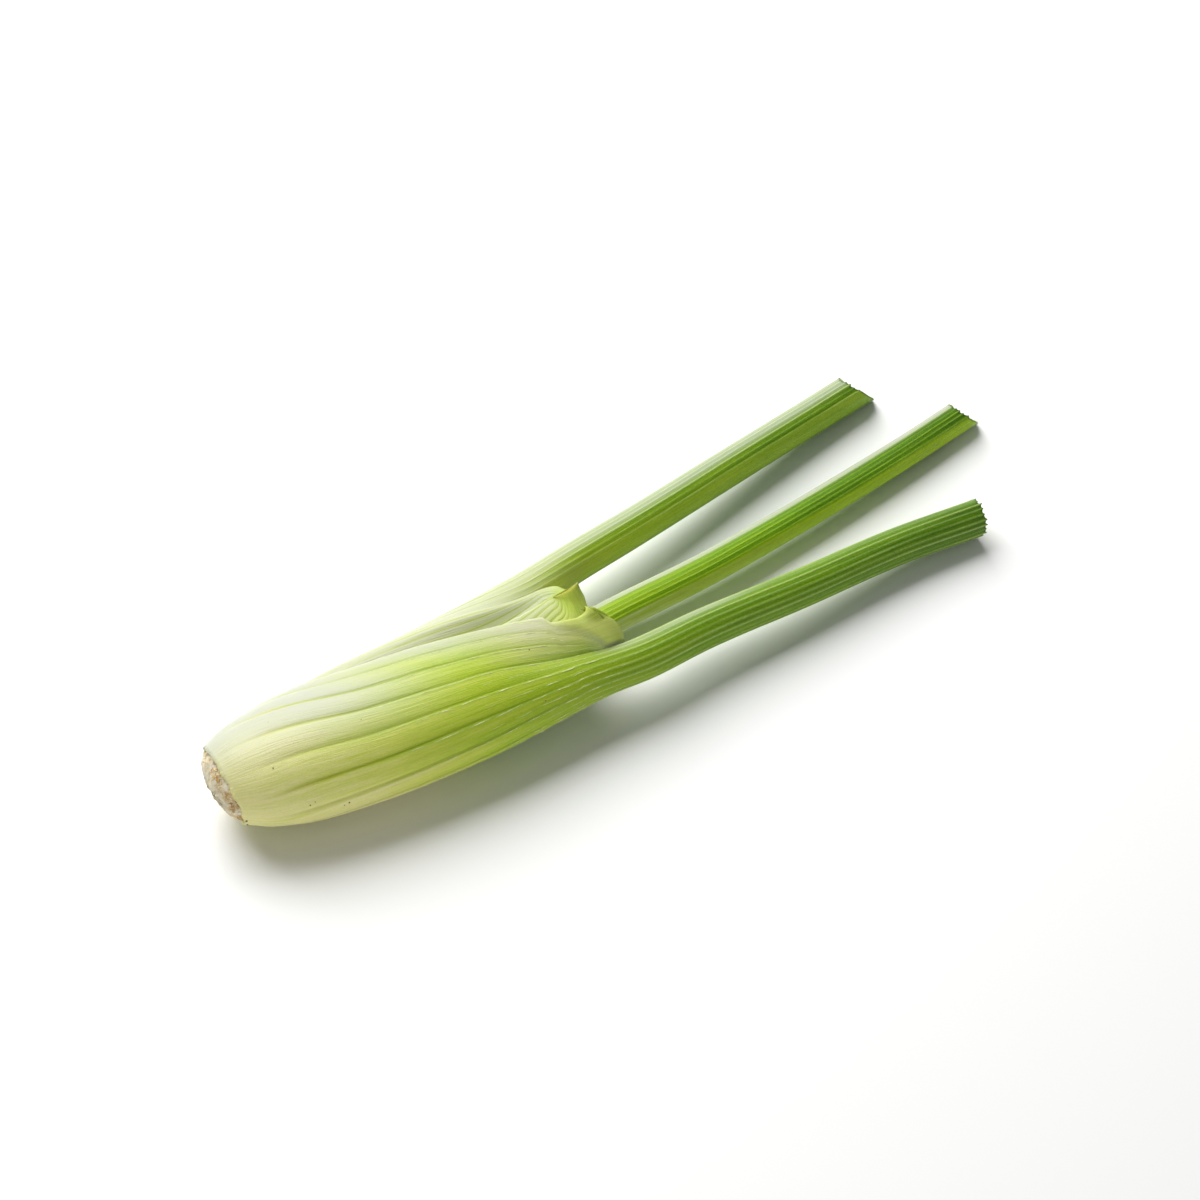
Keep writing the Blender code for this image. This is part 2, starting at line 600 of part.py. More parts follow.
def put_origin_under_the_middle(pieces):
    """Moves the pieces together, so that the origin is under the middle of their box."""
    corners = np.array([vert.co for piece in pieces for vert in piece.data.vertices])
    low, high = corners.min(0), corners.max(0)
    middle = Vector(((low[0] + high[0]) / 2, (low[1] + high[1]) / 2, low[2]))
    for piece in pieces:
        for vert in piece.data.vertices:
            vert.co -= middle


def main():
    for item in list(bpy.data.objects):
        bpy.data.objects.remove(item, do_unlink=True)
    collection = bpy.data.collections.new("baby_fennel")
    bpy.context.scene.collection.children.link(collection)
    pieces = [
        (outer_leaf(), material("outer leaf green", (0.42, 0.56, 0.14), 0.42)),
        (inner_leaf(), material("inner leaf pale green", (0.52, 0.64, 0.24), 0.42)),
        (under_leaf(), material("under leaf yellow green", (0.38, 0.55, 0.08), 0.42)),
        (stem_base(), material("cut stem beige", (0.66, 0.55, 0.36), 0.85)),
    ]
    for piece, finish in pieces:
        piece.data.materials.append(finish)
        collection.objects.link(piece)
    put_origin_under_the_middle([piece for piece, _ in pieces])


main()
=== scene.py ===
"""Looks of a raw baby fennel that lies on a pale surface.

The leaves, the root cut and the cut stalk ends are meshes that stand for the CAD nodes. Shapes are worked out
in millimetres, with x from the root cut to the stalk tips, y across and z up. Angles round the bulb start at
+Y and pass over the top.
"""

import math

import bmesh
import bpy
import numpy as np
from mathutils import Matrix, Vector


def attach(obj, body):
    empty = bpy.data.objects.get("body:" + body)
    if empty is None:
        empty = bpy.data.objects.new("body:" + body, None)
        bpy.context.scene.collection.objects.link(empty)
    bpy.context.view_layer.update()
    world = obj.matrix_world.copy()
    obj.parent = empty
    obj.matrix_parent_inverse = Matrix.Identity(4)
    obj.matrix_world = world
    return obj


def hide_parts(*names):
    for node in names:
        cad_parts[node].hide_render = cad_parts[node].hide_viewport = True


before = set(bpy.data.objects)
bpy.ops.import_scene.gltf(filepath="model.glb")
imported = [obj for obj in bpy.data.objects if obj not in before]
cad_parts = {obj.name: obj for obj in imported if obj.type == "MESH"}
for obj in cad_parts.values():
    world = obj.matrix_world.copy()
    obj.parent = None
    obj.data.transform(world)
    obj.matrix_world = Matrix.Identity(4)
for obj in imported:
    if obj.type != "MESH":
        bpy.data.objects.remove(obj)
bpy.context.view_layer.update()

MM = 0.001
MIDDLE = np.array((101.298, 9.922, 0.0))  # where the frame's origin lies in these millimetres

# Bulb outline: x, half width, half thickness, centre y, centre z
BULB = (
    (-2.0, 8.9, 7.6, 0.3, 11.6),
    (0.0, 9.6, 8.2, 0.2, 11.6),
    (5.0, 12.1, 10.0, -0.3, 11.7),
    (12.0, 14.0, 11.3, -1.0, 11.8),
    (30.0, 16.3, 12.2, -2.0, 11.9),
    (50.0, 17.5, 12.3, -2.2, 11.95),
    (75.0, 18.8, 10.9, -0.9, 11.9),
    (95.0, 19.4, 9.3, 0.6, 11.5),
)
# Sheath edges, x then degrees: outer leaf's upper margin, its hood, its lower margin, under leaf's far margin
MARGINS = (
    (0.0, -9.0, 84.0, 348.4, 352.0),
    (8.0, -6.0, 85.0, 348.0, 352.0),
    (14.0, 9.0, 88.0, 339.0, 351.0),
    (30.0, 45.0, 100.0, 318.0, 350.0),
    (50.0, 65.0, 108.0, 300.0, 342.0),
    (63.0, 77.0, 113.0, 283.0, 322.0),
    (79.0, 92.0, 120.0, 258.0, 298.0),
    (84.0, 97.0, 122.0, 252.0, 294.0),
    (95.0, 100.0, 126.0, 240.0, 290.0),
)
# Side of the inner leaf that becomes its stalk: x, lower and upper edge in degrees
INNER_SIDE = (
    (9.0, -26.0, 8.0),
    (30.0, -28.0, 24.0),
    (50.0, -32.0, 40.0),
    (63.0, -38.0, 52.0),
    (82.0, -46.0, 66.0),
    (95.0, -50.0, 72.0),
)
# Stalk centre lines: x, y, z, radius
OUTER_STALK = (
    (60.0, -12.8, 12.3, 5.6),
    (85.0, -13.5, 12.0, 5.2),
    (95.0, -13.7, 11.4, 5.2),
    (111.0, -12.5, 10.3, 5.0),
    (138.0, -12.0, 8.3, 4.8),
    (166.0, -11.1, 6.3, 4.7),
    (187.0, -11.9, 4.8, 4.7),
)
INNER_STALK = (
    (60.0, 11.4, 12.4, 5.3),
    (82.0, 14.4, 12.1, 5.0),
    (92.0, 16.5, 11.4, 4.9),
    (116.0, 21.3, 9.7, 4.75),
    (147.0, 28.2, 7.3, 4.65),
    (167.0, 32.5, 5.8, 4.6),
    (188.0, 36.8, 4.5, 4.6),
)
UNDER_STALK = (
    (60.0, 4.5, 5.6, 4.6),
    (85.0, 2.2, 6.6, 4.3),
    (100.0, 2.9, 7.1, 4.1),
    (122.0, 4.4, 6.6, 4.0),
    (151.0, 8.1, 5.8, 3.9),
    (183.0, 13.3, 4.9, 3.9),
    (206.0, 17.8, 4.1, 3.9),
)
STALK_BACK_ARC = 124.0  # degrees from the middle of a stalk's ribbed back to its edge
STALK_FLAT = 0.16  # share by which a stalk is flatter on the side away from its back
GATHERS, UNDER_GATHERS, HIDDEN_GATHERS = (56.0, 96.0), (54.0, 92.0), (44.0, 82.0)  # sheath to stalk, along x
MARGIN_THICKNESS, MID_THICKNESS, ROOT_THICKNESS = 0.9, 3.0, 1.1
STALK_RIB_HEIGHT, HOOD_DOME = 0.26, 0.75
LINE_BELOW_GROOVE, LINE_WIDTH = 0.1, 0.05  # the raised line below each groove, counted in ribs
INSIDE_INSET = 14.0  # degrees from the edge of the front stalk's back to the edge of its inner side
ROOT_TILT, ROOT_TILT_REACH = 0.12, 14.0  # how far the root's cut leans, and up to which x
WALL_GROWS, RIBS_GROW = (0.0, 12.0), (1.0, 14.0)  # where along x they come up from the root
GAP = 0.43  # between one leaf and the next
RIB_SHARE = 0.8  # share of the ribs' height on the back and the middle stalk

OUTER_START, OUTER_SPLIT, OUTER_BACK = 0.6, 84.0, 188.0  # x, x, and the bearing of the stalk's ribbed back
OUTER_RIBS, OUTER_HOOD_RIBS = 11, 3
OUTER_STALK_RIBS = OUTER_RIBS - OUTER_HOOD_RIBS
OUTER_TIP = (187.2, 0.09, 0.07)  # x of the stalk's cut, then how far the cut leans across and upwards
OUTER_DIP = (77.4, 78.6, 6.5)  # where the margin falls back before the hood, and by how many degrees
OUTER_HOOD_SEAM = ((93.8, -8.5, 12.8), (92.2, -6.0, 17.6), (87.6, -1.9, 20.9))
OUTER_SEAM_ACROSS = (0.0, -0.62, 0.79)
OUTER_HOOD_BRIDGE = 36.0
NEAR_LIP, FAR_LIP = (0.0, -0.35, -0.45), (0.4, 0.45, 0.7)  # where the lips lie beside the outer hood's seam
CREASE_STEP, CREASE_CLIMB = 0.52, 0.86  # where the crease lies on the outer hood, sunk and darkened with painted shade
OUTER_TIP_RISE, OUTER_HOOD_SAG = 0.3, (0.0, -0.85, -0.5)

INNER_START, INNER_SPLIT, INNER_BACK = 9.2, 82.0, 8.0
INNER_RIBS, INNER_HOOD_RIBS = 8, 24
INNER_TIP = (186.05, -0.36, -0.86)
INNER_HOOD_CENTRE, INNER_HOOD_SIZE, INNER_HOOD_TURN = (2.5, 14.8), (8.5, 5.2, 2.6), (12.0, 330.0)
INNER_HOOD_SEAM = ((83.6, 5.1, 19.3), (87.0, 5.4, 19.1), (91.2, 7.3, 17.7))
INNER_SEAM_ACROSS = (0.0, -1.0, 0.0)
INNER_HOOD_BULGE, HOOD_BULGE_REACH = 0.68, 6.5
INNER_FACE_TURN, INNER_FACE_DEGREES = 44.0, 9.0
INNER_CLEAR, INNER_UNDER_RISE, INNER_OUTER_RISE = 3.2, 11.0, 22.0
INNER_RETREAT, INNER_RETREAT_X, INNER_RETREAT_DEGREES = 1.3, (50.0, 70.0), (96.0, 130.0)
# Places round the inner body: its ribs fade, its hidden side starts, the stalk's pull ends on either side
INNER_RIBS_FADE, INNER_HIDDEN, INNER_PULL, INNER_LAST_PULL = (0.4, 0.55), (0.2, 0.45), 0.12, 0.25
INNER_HOOD_RIB_HEIGHT = 0.17
INNER_EVEN_SHARE = 0.35
INNER_SETTLES = (68.0, 100.0)
INNER_SEAM_ENDS = (0.25, 0.892)  # places round the hood that lie behind the ends of its seam

UNDER_START, UNDER_RIBS, UNDER_BACK = 14.0, 6, 275.0
UNDER_TIP = (204.0, -0.32, -0.85)
UNDER_SEAM, UNDER_STEP, UNDER_STEP_WIDTH = 2.3, 0.35, 0.3
UNDER_THICKNESS, UNDER_THICKENS = 2.6, (14.0, 45.0)

# The cut stem's face from its rim to its middle: x, depth below the bulb's outline
PLUG_FACE = (
    (1.2, 0.9),
    (0.6, 1.0),
    (0.1, 1.25),
    (-0.6, 1.8),
    (-1.3, 2.4),
    (-1.8, 3.6),
    (-2.2, 5.4),
    (-2.4, 7.0),
)
PLUG_BACK = ((6.0, 1.2), (3.0, 1.0))
CHIPPED_BELOW = 1.0  # rings of the stem's face with a smaller x are chipped
TEAR, FINE_TEAR, TORN_REACH = 0.22, 0.1, 8.0  # the ragged rim of the outer leaf at the root

# Reliefs along the leaf: x, value
HOOD_NARROWS = ((66, 1.0), (74, 0.9), (81, 0.66), (83.5, 0.55), (85.5, 0.36), (88, 0.1))
GROOVE_WIDTH = ((12, 0.085), (45, 0.055))
GROOVE_DEPTH = ((6, 0.0), (14, 0.13), (34, 0.13), (60, 0.07))
RIB_DOME = ((2, 0.0), (12, 0.3), (32, 0.3), (56, 0.14), (90, 0.1))
LINE_HEIGHT = ((8, 0.0), (30, 0.05), (46, 0.13))
LOW_RIDGES = ((70, 0.9), (150, 0.55))  # share of their height that every second ridge of a stalk keeps

# Paleness along each leaf, from 1 for pale to 0 for dark green: x, value
OUTER_TONE = (
    (0, 0.98),
    (14, 0.9),
    (28, 0.76),
    (42, 0.62),
    (58, 0.49),
    (76, 0.44),
    (92, 0.35),
    (110, 0.24),
    (187, 0.04),
)
INNER_TONE = ((9, 0.95), (30, 0.85), (60, 0.74), (84, 0.6), (100, 0.42), (125, 0.26), (188, 0.16))
UNDER_TONE = ((14, 0.9), (40, 0.7), (70, 0.55), (90, 0.5), (120, 0.32), (160, 0.12), (206, 0.0))

# Areas of the outer leaf's skin: between which ribs and which x each one fades in, and fades out again
HOOD_RIBS, HOOD_PALE = (8.0, 8.8), 0.68
DOME_RIBS, DOME_X = (10.1, 11.6), (75, 84)
PLAIN_RIBS, PLAIN_X = (10.1, 10.6), (72, 80)
TOP_RIBS, TOP_X = (7.0, 7.9), (96, 116)
FOOT_RIBS, FOOT_X = (6.8, 7.7), ((82, 92), (104, 136))
NEAR_HOOD_RIBS, NEAR_HOOD_X = (6.3, 8.8), ((56, 74), (92, 106))
MARGIN_BAND = ((45, 1.15), (75, 1.9))  # x, width in ribs of the whitish band along the upper margin, painted sheen

# Small marks that the photo shows: x, rib, size. The last two lie at the root's rim
KNOWN_SPECKS = (
    (21.5, 4.75, 0.2),
    (20.4, 4.7, 0.13),
    (13.5, 5.25, 0.17),
    (14.6, 5.32, 0.12),
    (9.5, 6.85, 0.16),
    (71.0, 8.75, 0.15),
    (69.0, 5.6, 0.13),
    (0.85, 4.8, 0.26),
    (0.9, 4.3, 0.2),
)
LOOSE_SPECKS, FIBRES, FIBRE_POINTS, FIBRE_THICKNESS, CRUMBS = 40, 240, 7, 0.1, 150
FIBRE_DEGREES, CRUMB_DEGREES = (85, 255), (85, 250)  # the side of the border that the camera sees
FLOOR_CLEARANCE = 1.6  # how many times its size a point of a small piece stays above the floor
VEIN_START, HALF_VEIN_START, VEIN_END, VEIN_STEP, VEIN_THICKNESS = 24.0, 44.0, 98.0, 0.4, 0.09

# Fineness of the meshes
POINTS_PER_RIB, INSIDE_POINTS_PER_RIB, UNDER_INSIDE_POINTS = 20, 4, 10
SHEATH_STEP, STALK_STEP = 0.8, 1.0
HOOD_RINGS, HOOD_POINTS, BRIDGE_POINTS, FACE_POINTS = 22, 120, 15, 12
CUT_RINGS, PLUG_POINTS = 9, 220
TOOTH = 0.6  # how far a ridge stands out at a stalk's cut
PITH_DEPTH, PITH_ROUGHNESS = 0.5, 0.05
FULL_TURN = 6.28  # radians

# Values that every point of a skin carries for the materials
VALUES = ("along", "around", "groove", "crest", "pale", "white", "ripe", "edge", "core")
ALONG, AROUND, GROOVE, CREST, PALE, WHITE_AND_SHEEN, RIPE_AND_SHADE, EDGE_AND_CREASE_SHADE, CORE = range(len(VALUES))


def curve_through(stations):
    """A smooth curve through stations: gives every column after the first for a value of the first."""
    table = np.array(stations, float)
    keys, values = table[:, 0], table[:, 1:]
    slopes = np.gradient(values, keys, axis=0)

    def at(key):
        key = np.clip(np.asarray(key, float), keys[0], keys[-1])
        i = np.clip(np.searchsorted(keys, key, side="right") - 1, 0, len(keys) - 2)
        span = (keys[i + 1] - keys[i])[..., None]
        u = (key - keys[i])[..., None] / span
        start = values[i] * (1 + 2 * u) * (1 - u) ** 2 + slopes[i] * span * u * (1 - u) ** 2
        end = values[i + 1] * u * u * (3 - 2 * u) - slopes[i + 1] * span * u * u * (1 - u)
        return np.moveaxis(start + end, -1, 0)

    return at


bulb_at = curve_through(BULB)
margins_at = curve_through(MARGINS)
inner_side_at = curve_through(INNER_SIDE)
outer_stalk_at = curve_through(OUTER_STALK)
inner_stalk_at = curve_through(INNER_STALK)
under_stalk_at = curve_through(UNDER_STALK)


def smoothstep(low, high, value):
    u = np.clip((np.asarray(value, float) - low) / (high - low), 0.0, 1.0)
    return u * u * (3 - 2 * u)


def fades(start, end, value):
    return 1 - smoothstep(start, end, value)


def hump(rise, fall, value):
    """Goes from 0 up to 1 over one range and back to 0 over a later one."""
    return smoothstep(*rise, value) * fades(*fall, value)


def mix(a, b, share):
    return a + (b - a) * np.asarray(share)[..., None]


def points_of(x, y, z):
    return np.stack(np.broadcast_arrays(x, y, z), -1)


def between(stations, value):
    """Straight-line reading of a short table of (key, value) pairs."""
    keys, values = zip(*stations)
    return np.interp(value, keys, values)


def ripple(first, second, seed, waves=5):
    """Smooth irregular waves between about -1 and 1 over two coordinates, counted in waves."""
    rng = np.random.default_rng(seed)
    total = 0.0
    for _ in range(waves):
        rate = rng.uniform(0.6, 1.7, 2) * rng.choice((-1, 1), 2)
        total = total + np.sin(2 * np.pi * (first * rate[0] + second * rate[1]) + rng.uniform(0, 2 * np.pi))
    return total / waves**0.5


def on_bulb(x, degrees, depth):
    """Points on the bulb's outline, sunk by depth along its normal."""
    half_width, half_thickness, y, z = bulb_at(x)
    c, s = np.cos(np.radians(degrees)), np.sin(np.radians(degrees))
    normal = np.stack([c / half_width, s / half_thickness])
    normal = normal / np.linalg.norm(normal, axis=0)
    across, up = half_width * c - depth * normal[0], half_thickness * s - depth * normal[1]
    lean = -ROOT_TILT * up * fades(0, ROOT_TILT_REACH, x)
    return points_of(x + lean, y + across, z + up)


def on_stalk(stalk_at, back, x, turn, height):
    """Points on a stalk, turned from the middle of its ribbed back and raised by height."""
    y, z, radius = stalk_at(x)
    reach = radius * (1 - STALK_FLAT * ((1 - np.cos(np.radians(turn))) / 2) ** 3) + height
    angle = np.radians(back + turn)
    return points_of(x, y + reach * np.cos(angle), z + reach * np.sin(angle))


def bent_ribs(ribs, x):
    """Counts ribs so that the upper ones bend down round the foot of the outer leaf's hood."""
    above = ribs - OUTER_STALK_RIBS
    return np.where(above > 0, OUTER_STALK_RIBS + above / between(HOOD_NARROWS, x), ribs)


def sheath_ribs(ribs, x):
    """Broad ribs of a sheath, each with a thin raised line just below the groove above it."""
    nearest = np.round(ribs)
    own = 0.75 + 0.25 * np.sin(2.3 * nearest + 0.7)
    place = ribs - nearest + 0.018 * ripple(x / 31.0, nearest, 3)
    groove = np.exp(-((place / between(GROOVE_WIDTH, x)) ** 2)) * own
    line = np.exp(-(((place + LINE_BELOW_GROOVE) / LINE_WIDTH) ** 2)) * own
    broad = np.abs(np.sin(np.pi * ribs)) ** 0.7
    height = between(RIB_DOME, x) * broad + between(LINE_HEIGHT, x) * line
    height = height - between(GROOVE_DEPTH, x) * groove
    return height, groove * smoothstep(3.0, 17.0, x), line * smoothstep(14.0, 40.0, x)


def stalk_ribs(ribs, x, tip):
    """Two fine ridges to a rib: height, and how high on a crest. They stand out more near the cut."""
    count = 2 * (ribs + 0.08) + 0.5
    index = np.floor(count)
    place = np.mod(count, 1.0) - 0.5 + 0.03 * ripple(x / 60.0, index * 0.7, 5)
    own = 0.72 + 0.28 * np.sin(1.9 * index + 0.4) + 0.12 * ripple(x / 45.0, index * 0.37, 6)
    own = np.where(np.mod(index, 2) == 1, own * between(LOW_RIDGES, x), own)
    crest = np.exp(-((place / 0.17) ** 2)) * own
    return STALK_RIB_HEIGHT * crest * (0.8 + 0.6 * smoothstep(tip - 18, tip - 2, x)), crest


def leaf_relief(ribs, x, share, tip=190.0):
    """Height of a leaf's ribs and the groove and crest values, blended from sheath to stalk by share."""
    broad, groove, line = sheath_ribs(ribs, x)
    fine, crest = stalk_ribs(ribs, x, tip)
    height = broad * (1 - share) + fine * share
    return height, groove * (1 - share) + (1 - crest) * 0.75 * share, line * (1 - share) * 0.4 + crest * share


def wall(degrees, x, first_edge, last_edge):
    """Thickness of a sheath between its two margins, thickest half way between them."""
    place = np.clip((2 * degrees - first_edge - last_edge) / (last_edge - first_edge), -1, 1)
    grown = MARGIN_THICKNESS + (MID_THICKNESS - MARGIN_THICKNESS) * (1 - place**2)
    return ROOT_THICKNESS + (grown - ROOT_THICKNESS) * smoothstep(*WALL_GROWS, x)


def outer_wall(degrees, x):
    upper, _, lower, _ = margins_at(x)
    return wall(degrees, x, upper, lower)


def under_middle(x):
    return MARGIN_THICKNESS + (UNDER_THICKNESS - MARGIN_THICKNESS) * smoothstep(*UNDER_THICKENS, x)


def through_three(place, middle_place, first, middle, last):
    """Runs through first at -1, middle at middle_place and last at 1 without a kink."""
    return (
        first * (place - middle_place) * (place - 1) / ((-1 - middle_place) * -2)
        + middle * (place + 1) * (place - 1) / ((middle_place + 1) * (middle_place - 1))
        + last * (place + 1) * (place - middle_place) / (2 * (1 - middle_place))
    )


def values_of(x, around, **given):
    """Values of a row of points: where they are along and round the leaf, and those given by name."""
    table = np.zeros((len(around), len(VALUES)))
    table[:, ALONG], table[:, AROUND] = x, around
    for name, value in given.items():
        table[:, VALUES.index(name)] = value
    return table


def outer_section(ribs, x, inside, relief=1.0):
    """The outer leaf at places counted in ribs from its lower margin, on its back or on its inside."""
    x = np.broadcast_to(x, ribs.shape)
    upper, hood_edge, lower, _ = margins_at(x)
    upper = upper + OUTER_DIP[2] * smoothstep(OUTER_DIP[0], OUTER_DIP[1], x)
    hood_place = 2 * OUTER_STALK_RIBS / OUTER_RIBS - 1

    def degrees_at(place):
        return through_three(place, hood_place, lower, hood_edge, upper)

    degrees = degrees_at(2 * ribs / OUTER_RIBS - 1)
    edge_degrees = degrees_at(hood_place)
    on_back = np.minimum(ribs, OUTER_STALK_RIBS) / OUTER_STALK_RIBS
    share = smoothstep(*GATHERS, x)
    if inside:
        depth, edge_depth = outer_wall(degrees, x), outer_wall(edge_degrees, x)
        first, last = STALK_BACK_ARC + INSIDE_INSET, 360 - STALK_BACK_ARC - OUTER_HOOD_BRIDGE
        height = groove = crest = np.zeros_like(x)
        pale, white = 0.8 - 0.4 * share, 0.3 * (1 - share)
    else:
        height, groove, crest, pale, white = outer_skin_values(ribs, x, share)
        height = height * relief
        hood_edge_ribs = np.full_like(ribs, OUTER_STALK_RIBS)
        edge_height = outer_skin_values(hood_edge_ribs, x, share)[0] * relief
        margin = np.minimum(ribs, OUTER_RIBS - ribs)
        rounding = 0.3 * np.exp(-((margin / 0.12) ** 2)) * smoothstep(4.0, 16.0, x) * (1 - share)
        depth, edge_depth = rounding - height, -edge_height
        first, last = STALK_BACK_ARC, -STALK_BACK_ARC
        height = np.where(ribs > OUTER_STALK_RIBS, edge_height, height)
    sheath = on_bulb(x, degrees, depth)
    stalk = on_stalk(outer_stalk_at, OUTER_BACK, x, first + (last - first) * on_back, height)
    pull = stalk - on_bulb(x, edge_degrees, edge_depth)
    hood = np.clip((ribs - OUTER_STALK_RIBS) / OUTER_HOOD_RIBS, 0, 1)
    hooded = sheath + pull * (share * (1 - hood) ** 2)[..., None]
    points = np.where((hood > 0)[..., None], hooded, mix(sheath, stalk, share))
    return points, values_of(x, ribs * 6.0, groove=groove, crest=crest, pale=pale, white=white)


def outer_skin_values(ribs, x, share):
    """Relief and tones of the outer leaf's skin: height, groove, crest, pale, and white with painted sheen on
    its upper side.
    """
    bent = bent_ribs(ribs, x)
    dome = smoothstep(*DOME_RIBS, bent) * smoothstep(*DOME_X, x)
    ribbed = 1 - smoothstep(*PLAIN_RIBS, bent) * smoothstep(*PLAIN_X, x)
    share = share * fades(*HOOD_RIBS, ribs)
    height, groove, crest = leaf_relief(bent, x, share, OUTER_TIP[0])
    top = smoothstep(*TOP_RIBS, ribs) * smoothstep(*TOP_X, x)
    height = height * ribbed * (1 - 0.75 * top) + HOOD_DOME * dome
    groove, crest = groove * ribbed * (1 - 0.7 * top), crest * ribbed * (1 - 0.4 * top)

    # Each rib painted paler on its upper part, just below the groove above it: painted light on the slope
    # that faces the overhead light
    upper_slope_light = np.mod(bent + LINE_BELOW_GROOVE, 1.0) - 0.5
    near_hood = smoothstep(*NEAR_HOOD_RIBS, ribs) * hump(*NEAR_HOOD_X, x)
    pale = between(OUTER_TONE, x) + 0.14 * upper_slope_light * (1 - share) * ribbed * smoothstep(14, 40, x)
    pale = pale + (HOOD_PALE - pale) * dome + 0.12 * fades(0.5, 2.6, ribs) * smoothstep(90, 120, x)
    pale = pale + 0.4 * near_hood * smoothstep(6.8, 10.4, ribs) * (1 - dome)
    # Lower ribs near the root painted paler: painted light standing in for light that passes through the bulb
    # to its lower side
    pale = pale + 0.26 * fades(3, 6, ribs) * hump((8, 24), (38, 60), x)

    band = np.exp(-(((OUTER_RIBS - ribs) / between(MARGIN_BAND, x)) ** 2))
    band = band * (1 - 0.25 * smoothstep(50, 66, x)) * (1 - 0.75 * smoothstep(74, 88, x))
    # White: painted sheen on the upper ribs, on the band along the upper margin and on the top of the stalk's
    # foot, where the leaf faces the overhead light; near the root partly the leaf's own pale tone
    white = smoothstep(6.0, 9.2, ribs) * fades(20, 58, x)
    white = np.maximum(white, 0.9 * band * smoothstep(2, 14, x)) * (1 - 0.88 * dome)
    white = white + 0.14 * near_hood * (1 - dome) + 0.16 * dome
    foot = smoothstep(*FOOT_RIBS, ribs) * hump(*FOOT_X, x) * (1 - dome)
    white = white + 0.18 * top + 0.8 * foot
    return height, groove, crest, pale, white * (1 - 0.85 * groove)


def under_section(ribs, x, inside):
    """The under leaf at places counted in ribs, away from the outer leaf's lower margin."""
    x = np.broadcast_to(x, ribs.shape)
    _, _, lower, far = margins_at(x)
    place = ribs / UNDER_RIBS
    degrees = lower + UNDER_SEAM + (far - lower - UNDER_SEAM) * place
    step = UNDER_STEP * fades(0.0, UNDER_STEP_WIDTH, place)
    share = smoothstep(*UNDER_GATHERS, x)
    arc = STALK_BACK_ARC + 2.0 * inside
    turn = (360 - arc) + (2 * arc - 360) * place if inside else -arc + 2 * arc * place
    sheath_height, groove, crest = leaf_relief(ribs, x, np.zeros_like(x))
    bearing = np.mod(UNDER_BACK + turn, 360.0)
    smooth = hump((136, 154), (225, 240), bearing)
    fine, fine_crest = stalk_ribs(bearing / 36.0, x, UNDER_TIP[0])
    fine, fine_crest = fine * (1 - 0.9 * smooth), fine_crest * (1 - 0.85 * smooth)
    if inside:
        depth = MARGIN_THICKNESS + (under_middle(x) - MARGIN_THICKNESS) * (1 - (2 * place - 1) ** 2)
        groove = crest = np.zeros_like(x)
    else:
        depth = step - sheath_height
    sheath = on_bulb(x, degrees, depth)
    stalk = on_stalk(under_stalk_at, UNDER_BACK, x, turn, RIB_SHARE * fine)
    groove = groove * (1 - share) + (1 - fine_crest) * (1 - smooth) * 0.5 * share
    crest = crest * (1 - share) + fine_crest * share
    pale = between(UNDER_TONE, x) + 0.38 * smooth * share
    # White: painted sheen on the stalk's upper back, and the leaf's own pale tone near the root
    white = hump((14, 44), (56, 80), bearing) * share * 0.85
    white = white + 0.6 * fades(24, 62, x) * (1 - 0.8 * groove)
    points = mix(sheath, stalk, share)
    return points, values_of(x, bearing / 6.0, groove=groove, crest=crest, pale=pale, white=white)


def inner_depth(degrees, x):
    """How deep the inner leaf lies to clear the leaves round it, and how far it has risen beside them."""
    upper, _, lower, far = margins_at(x)
    turned = np.mod(degrees - upper, 360.0) + upper
    above_under = smoothstep(lower - INNER_UNDER_RISE, lower, turned) * under_middle(x)
    walls = np.maximum(outer_wall(turned, x), above_under)
    beside_under = smoothstep(INNER_CLEAR, INNER_UNDER_RISE, turned - far)
    rise = beside_under * smoothstep(INNER_CLEAR, INNER_OUTER_RISE, upper + 360.0 - turned)
    retreat = INNER_RETREAT * smoothstep(*INNER_RETREAT_X, x) * smoothstep(*INNER_RETREAT_DEGREES, turned)
    return (walls + GAP + retreat) * (1 - rise), rise


def inner_side_points():
    """Places round the stalk side, a smooth strip and then the ribs: in the strip, in ribs, in degrees."""
    back = np.arange(INNER_RIBS * POINTS_PER_RIB + 1) / POINTS_PER_RIB
    ribs = np.concatenate([np.zeros(FACE_POINTS), back])
    strip = np.concatenate([np.arange(FACE_POINTS) / FACE_POINTS - 1, np.zeros_like(back)])
    turns = STALK_BACK_ARC * (2 * ribs / INNER_RIBS - 1) + INNER_FACE_TURN * strip
    return strip, ribs, turns


def inner_white(x, bearing, groove):
    """How white the inner leaf's stalk side is painted: its pale tone near the bulb, and painted sheen mostly
    on its upper side.
    """
    upper = hump((20, 40), (76, 106), bearing)
    return (0.85 * fades(70, 100, x) + 1.1 * upper * smoothstep(70, 100, x)) * (1 - 0.7 * groove)


def inner_side(x, share):
    """The inner leaf's stalk side and its values. It gathers from sheath to stalk by share."""
    low, high = inner_side_at(x)
    strip, ribs, turns = inner_side_points()
    height, groove, crest = leaf_relief(ribs, np.full_like(ribs, x), share, INNER_TIP[0])
    height = RIB_SHARE * height * (strip == 0)
    degrees = low + (high - low) * ribs / INNER_RIBS + INNER_FACE_DEGREES * strip
    depth, rise = inner_depth(degrees, x)
    sheath = on_bulb(x, degrees, depth - height * rise)
    side = mix(sheath, on_stalk(inner_stalk_at, INNER_BACK, x, turns, height), share)
    tone, white = between(INNER_TONE, x), inner_white(x, INNER_BACK + turns, groove)
    return side, values_of(x, turns / 6.0, groove=groove * rise, crest=crest, pale=tone, white=white)


